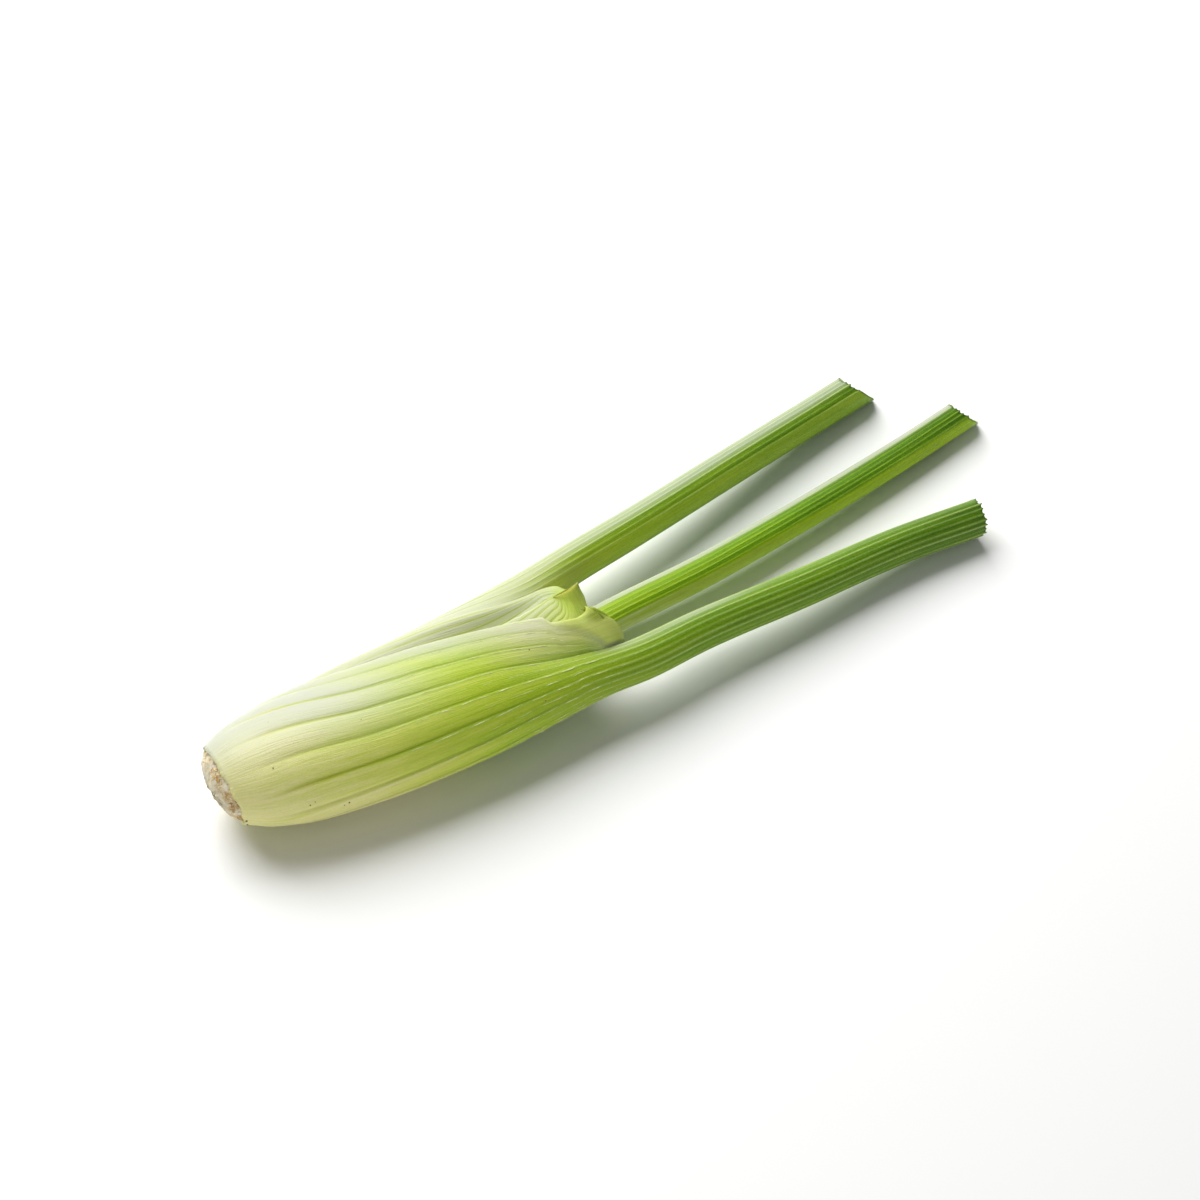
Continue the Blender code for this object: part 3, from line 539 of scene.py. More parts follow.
def inner_body(x, share, side):
    """The inner leaf's hood and hidden side and their values. Both ends are pulled to the stalk side."""
    low, high = inner_side_at(x)
    step = np.arange(1, HOOD_POINTS) / HOOD_POINTS
    place = INNER_EVEN_SHARE * step + (1 - INNER_EVEN_SHARE) * step**2
    degrees = high + (360 + low - INNER_FACE_DEGREES - high) * place
    count = INNER_HOOD_RIBS * step
    away = (count - np.round(count) + 0.05 * ripple(x / 23.0, np.round(count), 11)) / 0.15
    shows = fades(*INNER_RIBS_FADE, step) * smoothstep(*RIBS_GROW, x)
    groove = np.exp(-(away**2)) * shows * smoothstep(28.0, 52.0, x)
    height = INNER_HOOD_RIB_HEIGHT * (1 - groove) * shows
    depth, rise = inner_depth(degrees, x)
    sheath = on_bulb(x, degrees, depth - height * rise)
    first, last = np.radians(INNER_HOOD_TURN)
    angle = first + (last - first) * place
    half_width, above, below = INNER_HOOD_SIZE
    up = np.where(np.sin(angle) > 0, above, below) + height
    hood_y = INNER_HOOD_CENTRE[0] + (half_width + height) * np.cos(angle)
    hood = points_of(x, hood_y, INNER_HOOD_CENTRE[1] + up * np.sin(angle))
    hidden_share = smoothstep(*HIDDEN_GATHERS, x)
    body = mix(sheath, hood, share + (hidden_share - share) * smoothstep(*INNER_HIDDEN, place))
    first_pull, last_pull = side[-1] - body[0], side[0] - body[-1]
    body = body + first_pull * smoothstep(INNER_PULL, 0.0, place)[:, None] * share
    body = body + last_pull * smoothstep(1 - INNER_LAST_PULL, 1.0, place)[:, None] * share
    # White: the heart's own pale tone near the root, and painted sheen on its upper edge further out
    white = 0.8 * (1 - 0.8 * groove) * (1 - 0.8 * smoothstep(0.06, 0.3, place) * smoothstep(60, 80, x))
    tone = between(INNER_TONE, x)
    return body, values_of(x, 40.0 + 120.0 * place, groove=groove, pale=tone, white=white)


def inner_section(x):
    """The inner leaf's closed outline: its stalk side, then its hood and hidden side."""
    share = smoothstep(*GATHERS, x)
    side = inner_side(x, share)
    return side, inner_body(x, share, side[0])


def along_seam(seam, place):
    """Points along a hood's closing seam, for places from 0 to 1."""
    stations = [(i / (len(seam) - 1), *point) for i, point in enumerate(seam)]
    return np.moveaxis(curve_through(stations)(place), 0, -1)


def hood_ring(base, targets, step, bulge):
    """One ring of a hood: the base ring drawn in towards the seam as on a dome, bulging below the seam."""
    forward, inward = np.sin(step * np.pi / 2), np.cos(step * np.pi / 2)
    below = np.clip(targets[:, 2] - base[:, 2], 0, HOOD_BULGE_REACH)
    ring = targets + (base - targets) * inward
    ring[:, 0] = base[:, 0] + (targets[:, 0] - base[:, 0]) * forward
    ring[:, 0] += bulge * below * np.sin(step * np.pi) * inward
    return ring


def new_object(name, data):
    """An object of the scene that carries a mesh, a camera or a light."""
    made = bpy.data.objects.new(name, data)
    bpy.context.scene.collection.objects.link(made)
    return made


def stacked(first, second):
    """One ring out of two stretches, each given as points and values."""
    return np.vstack([first[0], second[0]]), np.vstack([first[1], second[1]])


class Skin:
    """Rings of points joined into one closed mesh. Each point carries the values that the materials read."""

    def __init__(self):
        self.points, self.values, self.faces, self.slots, self.size = [], [], [], [], 0

    def ring(self, points, values):
        """Adds a row of points and gives their indices."""
        self.points.append(np.asarray(points, float))
        self.values.append(values)
        self.size += len(points)
        return np.arange(self.size - len(points), self.size)

    def add(self, faces, slot):
        self.faces.extend(faces)
        self.slots.extend([slot] * len(faces))

    def join(self, first, second, slot=0):
        self.add(np.stack([first, np.roll(first, -1), np.roll(second, -1), second], 1).tolist(), slot)

    def grow(self, last, points, values, slot=0):
        """Adds the next ring and joins it to the last one."""
        ring = self.ring(points, values)
        self.join(last, ring, slot)
        return ring

    def run(self, rings):
        """Joins a run of rings, each given as points and values. Gives the first and the last ring."""
        rings = iter(rings)
        first = last = self.ring(*next(rings))
        for points, values in rings:
            last = self.grow(last, points, values)
        return first, last

    def fan(self, ring, middle, values, slot=0):
        """Closes a ring with triangles that meet at its middle."""
        centre = self.ring(middle[None], values)[0]
        self.add([(a, b, centre) for a, b in zip(ring.tolist(), np.roll(ring, -1).tolist())], slot)

    def strip(self, ring, count):
        """Closes a curved end: its first count points lie on the back, several to each point inside."""
        back, inside = ring[:count], ring[count:][::-1]
        step = (len(back) - 1) // (len(inside) - 1)
        for i in range(len(inside) - 1):
            run = back[i * step : (i + 1) * step + 1]
            self.add([(run[k], run[k + 1], inside[i]) for k in range(step)], 0)
            self.add([(run[-1], inside[i + 1], inside[i])], 0)

    def place_of(self, indices):
        return np.vstack(self.points)[indices], np.vstack(self.values)[indices]

    def finish(self, name, materials):
        """Makes the mesh, in metres. The first two values become its UV map, the others attributes."""
        points = (np.vstack(self.points) - MIDDLE) * MM
        points[:, 2] = np.maximum(points[:, 2], 0.0)
        values = np.vstack(self.values)
        mesh = bpy.data.meshes.new(name)
        mesh.from_pydata(points.tolist(), [], self.faces)
        mesh.polygons.foreach_set("material_index", self.slots)
        for index, value in enumerate(VALUES[2:], 2):
            layer = mesh.attributes.new(value, "FLOAT", "POINT")
            layer.data.foreach_set("value", values[:, index].astype(np.float32))
        corners = np.zeros(len(mesh.loops), np.int32)
        mesh.loops.foreach_get("vertex_index", corners)
        flow = mesh.uv_layers.new(name="flow")
        flow.data.foreach_set("uv", values[corners][:, :2].astype(np.float32).ravel())
        bm = bmesh.new()
        bm.from_mesh(mesh)
        bmesh.ops.recalc_face_normals(bm, faces=bm.faces)
        for edge in bm.edges:
            edge.smooth = len({face.material_index for face in edge.link_faces}) < 2
        bm.to_mesh(mesh)
        bm.free()
        mesh.shade_smooth()
        for material in materials:
            mesh.materials.append(material)
        return new_object(name, mesh)


def spaced(start, end, step):
    return np.linspace(start, end, max(2, round((end - start) / step) + 1))


def stalk_rings(skin, last, section_at, start, tip, stalk_at, seed):
    """Carries a stalk on from its last ring to its cut, and closes the cut with a recessed face of pith."""
    cut_x, lean_across, lean_up = tip
    y, z, _ = stalk_at(cut_x)
    ends, values = section_at(cut_x)
    for _ in range(3):
        end_x = cut_x + lean_across * (ends[:, 1] - y) + lean_up * (ends[:, 2] - z)
        ends, values = section_at(end_x)
    teeth = np.where(values[:, CREST] > 0, values[:, CREST] ** 0.7 - 0.6, 0.0) * (1 - values[:, WHITE_AND_SHEEN])
    end_x = end_x + TOOTH * teeth + 0.15 * ripple(np.arange(len(ends)) / 40.0, 0.0, seed)
    count = round((cut_x - start) / STALK_STEP)
    shares = [*np.linspace(0, 1, count + 1)[1:-1], 1 - 0.5 / count, 1 - 0.2 / count, 1.0]
    for share in shares:
        points, values = section_at(start + (end_x - start) * share)
        values[:, EDGE_AND_CREASE_SHADE] = smoothstep(1 - 0.7 / count, 1.0, share)
        last = skin.grow(last, points, values)
    rim, values = skin.place_of(last)
    middle = rim.mean(0)
    for i in range(1, CUT_RINGS):
        share = 1 - i / CUT_RINGS
        face = middle + (rim - middle) * share
        rough = PITH_ROUGHNESS * ripple(face[:, 1] / 1.6, face[:, 2] / 1.6, seed + 1)
        face[:, 0] -= PITH_DEPTH * smoothstep(1.0, 0.6, share) + rough
        cut_values = values.copy()
        cut_values[:, CORE], cut_values[:, CREST], cut_values[:, GROOVE] = share, 0, 0
        last = skin.grow(last, face, cut_values, 1)
    skin.fan(last, middle - [PITH_DEPTH, 0, 0], cut_values[:1], 1)


def along_normals(rings, height):
    """Moves a grid of rings out along its surface by height."""
    along, around = np.gradient(rings, axis=0), np.gradient(rings, axis=1)
    normals = np.cross(along, around)
    normals /= np.maximum(np.linalg.norm(normals, axis=2, keepdims=True), 1e-9)
    return rings + normals * height[..., None]


def close_slit(skin, last, line, offsets, inward, values):
    """Sinks a narrow slit from the lips of a hood's seam and closes it below."""
    for depth, narrow in ((0.2, 0.75), (0.7, 0.5), (1.3, 0.25)):
        ring_values = values.copy()
        # Deeper in the slit the groove and ripe values rise: painted shade inside the slit, browner at the
        # inner leaf's
        ring_values[:, RIPE_AND_SHADE], ring_values[:, GROOVE] = 1.5 + depth, 0.6 + depth
        last = skin.grow(last, line + offsets * narrow + np.array(inward) * depth, ring_values)
    skin.fan(last, line.mean(0) + np.array(inward) * 1.6, ring_values[:1])


def outer_leaf(materials):
    """The outermost leaf: a sheath round most of the bulb, its hood, and the stalk at the front."""
    back_ribs = np.arange(OUTER_RIBS * POINTS_PER_RIB + 1) / POINTS_PER_RIB
    inside_ribs = np.arange(OUTER_RIBS * INSIDE_POINTS_PER_RIB + 1)[::-1] / INSIDE_POINTS_PER_RIB

    def section(back, inside, x, relief=1.0):
        x = np.broadcast_to(x, len(back) + len(inside))
        on_back = outer_section(back, x[: len(back)], False, relief)
        on_inside = outer_section(inside, x[len(back) :], True)
        return stacked(on_back, on_inside)

    skin = Skin()
    xs = spaced(OUTER_START, OUTER_SPLIT, SHEATH_STEP)
    both = np.concatenate([back_ribs, inside_ribs])
    torn = TEAR * ripple(both * 0.8, 0.0, 91, 7) + FINE_TEAR * ripple(both * 3.1, 0.0, 92, 7)
    shares = np.where(xs > OUTER_START, fades(0, TORN_REACH, xs), 1.0)
    root, last = skin.run(section(back_ribs, inside_ribs, x + torn * share) for x, share in zip(xs, shares))
    skin.strip(root, len(back_ribs))

    cut = OUTER_STALK_RIBS * POINTS_PER_RIB
    inside_cut = len(last) - 1 - OUTER_STALK_RIBS * INSIDE_POINTS_PER_RIB
    stalk_loop = np.concatenate([last[: cut + 1], last[inside_cut:]])
    hood_loop = last[cut : inside_cut + 1]
    stalk_inside = inside_ribs[-(OUTER_STALK_RIBS * INSIDE_POINTS_PER_RIB + 1) :]

    def stalk_section(x):
        return section(back_ribs[: cut + 1], stalk_inside, x)

    stalk_rings(skin, stalk_loop, stalk_section, OUTER_SPLIT, OUTER_TIP, outer_stalk_at, 21)
    smooth_section = section(back_ribs, inside_ribs, OUTER_SPLIT, 0.0)
    outer_hood(skin, hood_loop, smooth_section, (cut, inside_cut), back_ribs[cut:])
    return skin.finish("outer_leaf_skin", materials)


def outer_hood(skin, loop, smooth_section, ends, ribs):
    """Closes the domed hood beside the foot of the outer leaf's stalk, with a slit near its top."""
    base, values = smooth_section[0][ends[0] : ends[1] + 1], smooth_section[1][ends[0] : ends[1] + 1]
    outside_count = len(ribs)
    inside_count = len(loop) - outside_count
    places = np.concatenate([np.linspace(0, 1, outside_count), np.linspace(1, 0, inside_count)])
    outside = np.arange(len(loop)) < outside_count
    line = along_seam(OUTER_HOOD_SEAM, places)
    slit = hump((0.45, 0.66), (0.86, 0.98), places)
    offsets = np.where(outside, 0.12, -0.12)[:, None] * np.array(OUTER_SEAM_ACROSS)
    offsets = offsets + slit[:, None] * np.where(outside[:, None], NEAR_LIP, FAR_LIP)
    line = line + smoothstep(0.7, 1.0, places)[:, None] * np.array((0.0, 0.0, OUTER_TIP_RISE))
    steps = np.arange(1, HOOD_RINGS + 1) / HOOD_RINGS
    rings = np.array([base] + [hood_ring(base, line + offsets, step, 0.0) for step in steps])
    x = rings[:, :outside_count, 0]
    rib_grid = np.broadcast_to(ribs, x.shape)
    share = smoothstep(*GATHERS, x)
    height, groove, crest, pale, white = outer_skin_values(rib_grid, x, share)
    step_grid = np.concatenate([[0.0], steps])[:, None]
    over_stalk = np.exp(-(((rib_grid - OUTER_STALK_RIBS) / 0.9) ** 2)) * np.sin(np.pi * step_grid) ** 0.7
    across = places[:outside_count]
    # A crease sunk a little into the hood and darkened with the cut-edge green: painted shade in the fold
    crease_shade = np.exp(-(((step_grid - CREASE_STEP - CREASE_CLIMB * (across - 0.58)) / 0.035) ** 2))
    crease_shade = crease_shade * hump((0.54, 0.6), (0.84, 0.9), across)
    height = height * (1 - step_grid**6) - 0.3 * crease_shade
    pale = pale + (HOOD_PALE - pale) * smoothstep(0.05, 0.4, step_grid)
    groove = groove * fades(0.0, 0.3, step_grid)
    rings[:, :outside_count] = along_normals(rings[:, :outside_count], height)
    rings[:, :outside_count] += over_stalk[..., None] * np.array(OUTER_HOOD_SAG)
    columns = ((GROOVE, groove), (CREST, crest), (PALE, pale), (WHITE_AND_SHEEN, white), (EDGE_AND_CREASE_SHADE, 0.85 * crease_shade))
    # Painted shade in the hollow below the hood's tip, and more lightly over its upper rings, carried by the
    # ripe value
    hollow_shade = hump((0.4, 0.72), (0.8, 0.97), places)
    last = loop
    for i in range(1, HOOD_RINGS + 1):
        step = i / HOOD_RINGS
        ring_values = values.copy()
        ring_values[:, ALONG] = rings[i, :, 0]
        for column, value in columns:
            ring_values[:outside_count, column] = value[i]
        ring_values[:, RIPE_AND_SHADE] = 1.1 * smoothstep(0.08, 0.4, step) * hollow_shade + 0.4 * smoothstep(0.25, 0.6, step)
        last = skin.grow(last, rings[i], ring_values)
    close_slit(skin, last, line, offsets, (-0.5, 0.3, -0.8), ring_values)


def inner_leaf(materials):
    """The innermost leaf: the heart of the bulb, its slit hood, and the stalk at the back."""
    skin = Skin()
    sections = [inner_section(x) for x in spaced(INNER_START, INNER_SPLIT, SHEATH_STEP)]
    joined = [stacked(side, body) for side, body in sections]
    root, last = skin.run(joined)
    skin.fan(root, joined[0][0].mean(0), joined[0][1][:1])

    split_side = sections[-1][0][0]
    side, body = last[: len(split_side)], last[len(split_side) :]
    _, ribs, side_turns = inner_side_points()
    face_turns = np.linspace(STALK_BACK_ARC, 360 + side_turns[0], BRIDGE_POINTS + 2)
    face_places = np.linspace(0, 1, BRIDGE_POINTS + 2)[1:-1, None]
    turns = np.concatenate([side_turns, face_turns[1:-1]])
    stalk_ends = on_stalk(inner_stalk_at, INNER_BACK, INNER_SPLIT, face_turns[[0, -1]], 0.0)
    face = on_stalk(inner_stalk_at, INNER_BACK, INNER_SPLIT, face_turns[1:-1], 0.0)
    pulls = split_side[[-1, 0]] - stalk_ends
    face = face + pulls[0] * (1 - face_places) + pulls[1] * face_places
    face_values = values_of(INNER_SPLIT, face_turns[1:-1] / 6.0, pale=between(INNER_TONE, INNER_SPLIT))
    bridge = skin.ring(face, face_values)
    split_ring = np.vstack([split_side, face])

    def stalk_section(x):
        x = np.broadcast_to(x, len(turns))
        side_x = x[: len(ribs)]
        height, groove, crest = leaf_relief(ribs, side_x, smoothstep(*GATHERS, side_x), INNER_TIP[0])
        height = RIB_SHARE * height
        flat = np.zeros(BRIDGE_POINTS)
        height, groove, crest = (np.concatenate([part, flat]) for part in (height, groove, crest))
        stalk = on_stalk(inner_stalk_at, INNER_BACK, x, turns, height)
        at_split = on_stalk(inner_stalk_at, INNER_BACK, INNER_SPLIT, turns, height)
        left = fades(*INNER_SETTLES, x) / fades(*INNER_SETTLES, INNER_SPLIT)
        moved = (split_ring - at_split) * left[:, None]
        moved[:, 0] = 0
        smooth = smoothstep(116, 124, turns)
        pale = between(INNER_TONE, x) + 0.14 * smooth
        white = inner_white(x, INNER_BACK + turns, groove)
        values = values_of(x, turns / 6.0, groove=groove * (1 - smooth), crest=crest, pale=pale, white=white)
        return stalk + moved, values

    stalk_loop = np.concatenate([side, bridge])
    stalk_rings(skin, stalk_loop, stalk_section, INNER_SPLIT, INNER_TIP, inner_stalk_at, 31)

    inner_hood(skin, np.concatenate([side[-1:], body, side[:1], bridge[::-1]]))
    return skin.finish("inner_leaf_skin", materials)


def inner_hood(skin, loop):
    """Draws the inner leaf's mouth together into a hood with a slit."""
    base, values = skin.place_of(loop)
    first, last_point = (round(end * HOOD_POINTS) for end in INNER_SEAM_ENDS)
    around = np.mod(np.arange(len(loop)) - first, len(loop))
    near_count = last_point - first
    far_count = len(loop) - near_count
    places = np.where(around < near_count, around / near_count, (len(loop) - around) / far_count)
    sides = np.where(around < near_count, 1, -1)

    line = along_seam(INNER_HOOD_SEAM, places)
    width = 0.05 + 0.07 * np.sin(np.pi * places) ** 0.8
    offsets = (sides * width)[:, None] * np.array(INNER_SEAM_ACROSS)
    last = loop
    for i in range(1, HOOD_RINGS + 1):
        step = i / HOOD_RINGS
        points = hood_ring(base, line + offsets, step, INNER_HOOD_BULGE)
        points[:, 2] += 0.3 * smoothstep(0.8, 0.95, step)
        ring_values = values.copy()
        ring_values[:, ALONG] += 10 * step
        ring_values[:, GROOVE] *= 1 - 0.9 * smoothstep(0.35, 0.85, step)
        ring_values[:, WHITE_AND_SHEEN] *= 1 - 0.7 * step
        ring_values[:, PALE] -= 0.2 * smoothstep(0.3, 0.85, step)
        ripe = 0.25 * smoothstep(0.5, 0.9, step) + 0.5 * smoothstep(0.93, 1.0, step)
        ring_values[:, RIPE_AND_SHADE] = ripe * (sides + 2) / 3
        last = skin.grow(last, points, ring_values)
    close_slit(skin, last, line + [0, 0, 0.3], offsets, (-0.1, 0.0, -1.0), ring_values)


def under_leaf(materials):
    """The leaf that lies lowest: a narrow stretch of sheath under the bulb, and the middle stalk."""
    back_ribs = np.arange(UNDER_RIBS * POINTS_PER_RIB + 1) / POINTS_PER_RIB
    inside_ribs = np.arange(UNDER_RIBS * UNDER_INSIDE_POINTS + 1)[::-1] / UNDER_INSIDE_POINTS

    def section(x):
        x = np.broadcast_to(x, len(back_ribs) + len(inside_ribs))
        back = under_section(back_ribs, x[: len(back_ribs)], False)
        inside = under_section(inside_ribs, x[len(back_ribs) :], True)
        return stacked(back, inside)

    skin = Skin()
    root, last = skin.run(section(x) for x in spaced(UNDER_START, UNDER_GATHERS[1], SHEATH_STEP))
    skin.strip(root, len(back_ribs))
    stalk_rings(skin, last, section, UNDER_GATHERS[1], UNDER_TIP, under_stalk_at, 41)
    return skin.finish("under_leaf_skin", materials)


def root_cut(materials):
    """The frayed cut face of the stem inside the ring of the outer leaf."""
    degrees = np.arange(PLUG_POINTS) * 360 / PLUG_POINTS
    turn = degrees / 360
    skin = Skin()
    last = None
    for x, depth in PLUG_BACK + PLUG_FACE:
        rough = min(depth, 2.0) * 0.16 * ripple(turn * 9, depth * 0.4, 51, 7)
        chips = 0.25 * np.clip(ripple(turn * 23, depth * 0.8, 52, 7) - 0.6, 0, 2) * (x < CHIPPED_BELOW)
        points = on_bulb(x + rough * 0.7 + chips, degrees, depth + rough * 0.5 + chips)
        ripe = np.clip(1.4 - abs(depth - 0.8), 0, 1)
        values = values_of(x, degrees / 8.0, core=min(1.0, depth / 9.0), ripe=ripe)
        if last is None:
            last = skin.ring(points, values)
            skin.fan(last, points.mean(0), values[:1])
        else:
            last = skin.grow(last, points, values)
    skin.fan(last, points.mean(0) - [0.1, 0, 0], values[:1])
    return skin.finish("root_cut_face", materials)


def add_node(tree, kind, inputs=None, **settings):
    """Adds a node. An input is given by name or index, as a value or as the socket that feeds it."""
    node = tree.nodes.new(kind)
    for name, value in settings.items():
        setattr(node, name, value)
    for name, value in (inputs or {}).items():
        if isinstance(value, bpy.types.NodeSocket):
            tree.links.new(value, node.inputs[name])
        else:
            node.inputs[name].default_value = value
    return node


def grown(name, points, edges, sizes, build, settings, material):
    """Grows a piece on given points with Geometry Nodes, and keeps it as a plain mesh."""
    mesh = bpy.data.meshes.new(name)
    points = (np.asarray(points) - MIDDLE) * MM
    points[:, 2] = np.maximum(points[:, 2], np.asarray(sizes) * FLOOR_CLEARANCE * MM)
    mesh.from_pydata(points.tolist(), edges, [])
    layer = mesh.attributes.new("size", "FLOAT", "POINT")
    layer.data.foreach_set("value", np.asarray(sizes, np.float32) * MM)
    source = new_object(name + "_source", mesh)
    tree = bpy.data.node_groups.new(name, "GeometryNodeTree")
    tree.interface.new_socket("Geometry", in_out="INPUT", socket_type="NodeSocketGeometry")
    sockets = {}
    for label, value in settings.items():
        kind = "NodeSocketInt" if isinstance(value, int) else "NodeSocketFloat"
        sockets[label] = tree.interface.new_socket(label, in_out="INPUT", socket_type=kind)
    tree.interface.new_socket("Geometry", in_out="OUTPUT", socket_type="NodeSocketGeometry")
    shape = build(tree, tree.nodes.new("NodeGroupInput").outputs)
    shape = add_node(tree, "GeometryNodeRealizeInstances", {0: shape}).outputs[0]
    shape = add_node(tree, "GeometryNodeSetMaterial", {"Geometry": shape, "Material": material}).outputs[0]
    add_node(tree, "NodeGroupOutput", {0: shape})
    modifier = source.modifiers.new(name, "NODES")
    modifier.node_group = tree
    for label, value in settings.items():
        modifier[sockets[label].identifier] = value
    grown_mesh = bpy.data.meshes.new_from_object(source.evaluated_get(bpy.context.evaluated_depsgraph_get()))
    bpy.data.objects.remove(source)
    grown_mesh.name = name
    grown_mesh.materials.clear()
    grown_mesh.materials.append(material)
    return new_object(name, grown_mesh)


def point_size(tree):
    inputs = {"Name": "size"}
    return add_node(tree, "GeometryNodeInputNamedAttribute", inputs, data_type="FLOAT").outputs[0]


def tubes(tree, given):
    """Thin bumpy tubes along the edges: each point's size gives the thickness."""
    place = add_node(tree, "GeometryNodeInputPosition").outputs[0]
    noise = {"Vector": place, "W": given["Seed"], "Scale": given["Bumps"], "Detail": 1.0}
    noise = add_node(tree, "ShaderNodeTexNoise", noise, noise_dimensions="4D").outputs[0]
    bumpy = counted(tree, "MULTIPLY_ADD", counted(tree, "SUBTRACT", noise, 0.5), given["Unevenness"], 1.0)
    curve = add_node(tree, "GeometryNodeMeshToCurve", {0: given["Geometry"]}).outputs[0]
    thickness = counted(tree, "MULTIPLY", point_size(tree), bumpy)
    circle = {"Resolution": given["Sides"], "Radius": 1.0}
    circle = add_node(tree, "GeometryNodeCurvePrimitiveCircle", circle).outputs[0]
    inputs = {"Curve": curve, "Profile Curve": circle, "Scale": thickness, "Fill Caps": True}
    return add_node(tree, "GeometryNodeCurveToMesh", inputs).outputs[0]


def specks(tree, given):
    """A rounded speck on every point, as big as the point's size and turned at random."""
    ball = {"Radius": 1.0, "Subdivisions": given["Rounds"]}
    ball = add_node(tree, "GeometryNodeMeshIcoSphere", ball).outputs[0]
    index = add_node(tree, "GeometryNodeInputIndex").outputs[0]
    turn = {0: (0.0,) * 3, 1: (FULL_TURN,) * 3, "ID": index, "Seed": given["Seed"]}
    turn = add_node(tree, "FunctionNodeRandomValue", turn, data_type="FLOAT_VECTOR").outputs[0]
    inputs = {"Points": given["Geometry"], "Instance": ball, "Rotation": turn, "Scale": point_size(tree)}
    return add_node(tree, "GeometryNodeInstanceOnPoints", inputs).outputs[0]


def mixed(tree, share, first, second, how="MIX"):
    """Colour between first and second, which is a socket or plain red, green and blue."""
    if isinstance(second, tuple):
        second = (*second, 1.0)
    inputs = {0: share, 6: first, 7: second}
    return add_node(tree, "ShaderNodeMix", inputs, data_type="RGBA", blend_type=how).outputs[2]


def counted(tree, how, first, second, third=None, clamp=False):
    """A Math node's result."""
    inputs = {0: first, 1: second}
    if third is not None:
        inputs[2] = third
    return add_node(tree, "ShaderNodeMath", inputs, operation=how, use_clamp=clamp).outputs[0]


def read(tree, name):
    return add_node(tree, "ShaderNodeAttribute", attribute_name=name).outputs["Fac"]


def carried(tree, name, weight=1.0):
    """A value that the mesh carries, times a weight and kept between 0 and 1."""
    return counted(tree, "MULTIPLY", read(tree, name), weight, clamp=True)


def rescaled(tree, value, given, wanted):
    """A value from the given range, brought to the wanted range and kept in it."""
    inputs = {0: value, 1: given[0], 2: given[1], 3: wanted[0], 4: wanted[1]}
    return add_node(tree, "ShaderNodeMapRange", inputs).outputs[0]


def object_place(tree):
    return add_node(tree, "ShaderNodeTexCoord").outputs["Object"]


def noise_at(tree, place, scale, detail):
    inputs = {"Vector": place, "Scale": scale, "Detail": detail}
    return add_node(tree, "ShaderNodeTexNoise", inputs).outputs[0]


def cells_at(tree, place, scale):
    return add_node(tree, "ShaderNodeTexVoronoi", {"Vector": place, "Scale": scale}).outputs[0]


def ramp(tree, share, stops):
    """A colour ramp through stops of (place, red, green, blue)."""
    node = add_node(tree, "ShaderNodeValToRGB", {0: share})
    elements = node.color_ramp.elements
    while len(elements) < len(stops):
        elements.new(0.5)
    for element, (place, *colour) in zip(elements, stops):
        element.position = place
        element.color = (*colour, 1.0)
    return node.outputs[0]


def streaks(tree, along, across, detail=3.0):
    """Noise drawn out along the leaf. The scales are in features per millimetre or so."""
    flow = add_node(tree, "ShaderNodeUVMap", uv_map="flow").outputs[0]
    scaled = add_node(tree, "ShaderNodeMapping", {"Vector": flow, "Scale": (along, across, 1.0)}).outputs[0]
    return noise_at(tree, scaled, 1.0, detail)


def new_material(name, finish):
    """A material, its nodes and its shader. The finish gives the shader's settings by name."""
    material = bpy.data.materials.new(name)
    material.use_nodes = True
    shader = material.node_tree.nodes["Principled BSDF"]
    for socket, value in finish.items():
        shader.inputs[socket].default_value = value
    return material, material.node_tree, shader


def connect(tree, shader, colour, relief, strength, distance):
    """Gives a shader its colour and its bumps."""
    tree.links.new(colour, shader.inputs["Base Color"])
    inputs = {"Height": relief, "Strength": strength, "Distance": distance}
    tree.links.new(add_node(tree, "ShaderNodeBump", inputs).outputs[0], shader.inputs["Normal"])


LEAF_FINISH = {
    "Roughness": 0.36,
    "Subsurface Weight": 0.3,
    "Subsurface Radius": (0.9, 1.0, 0.35),
    "Subsurface Scale": 0.0025,
    "Specular IOR Level": 0.18,
    "Coat Weight": 0.08,
    "Coat Roughness": 0.3,
}
CUT_FINISH = {
    "Roughness": 0.3,
    "Subsurface Weight": 0.2,
    "Subsurface Radius": (0.9, 1.0, 0.4),
    "Subsurface Scale": 0.0015,
}
# Whitish for pale tone and painted sheen, dark green for cut edges and for the painted shade in the outer
# hood's crease, brown for the root
WHITISH_SHEEN, CUT_EDGE_AND_CREASE_SHADE, ROOT_BROWN = (0.54, 0.56, 0.44), (0.03, 0.09, 0.004), (0.38, 0.2, 0.06)


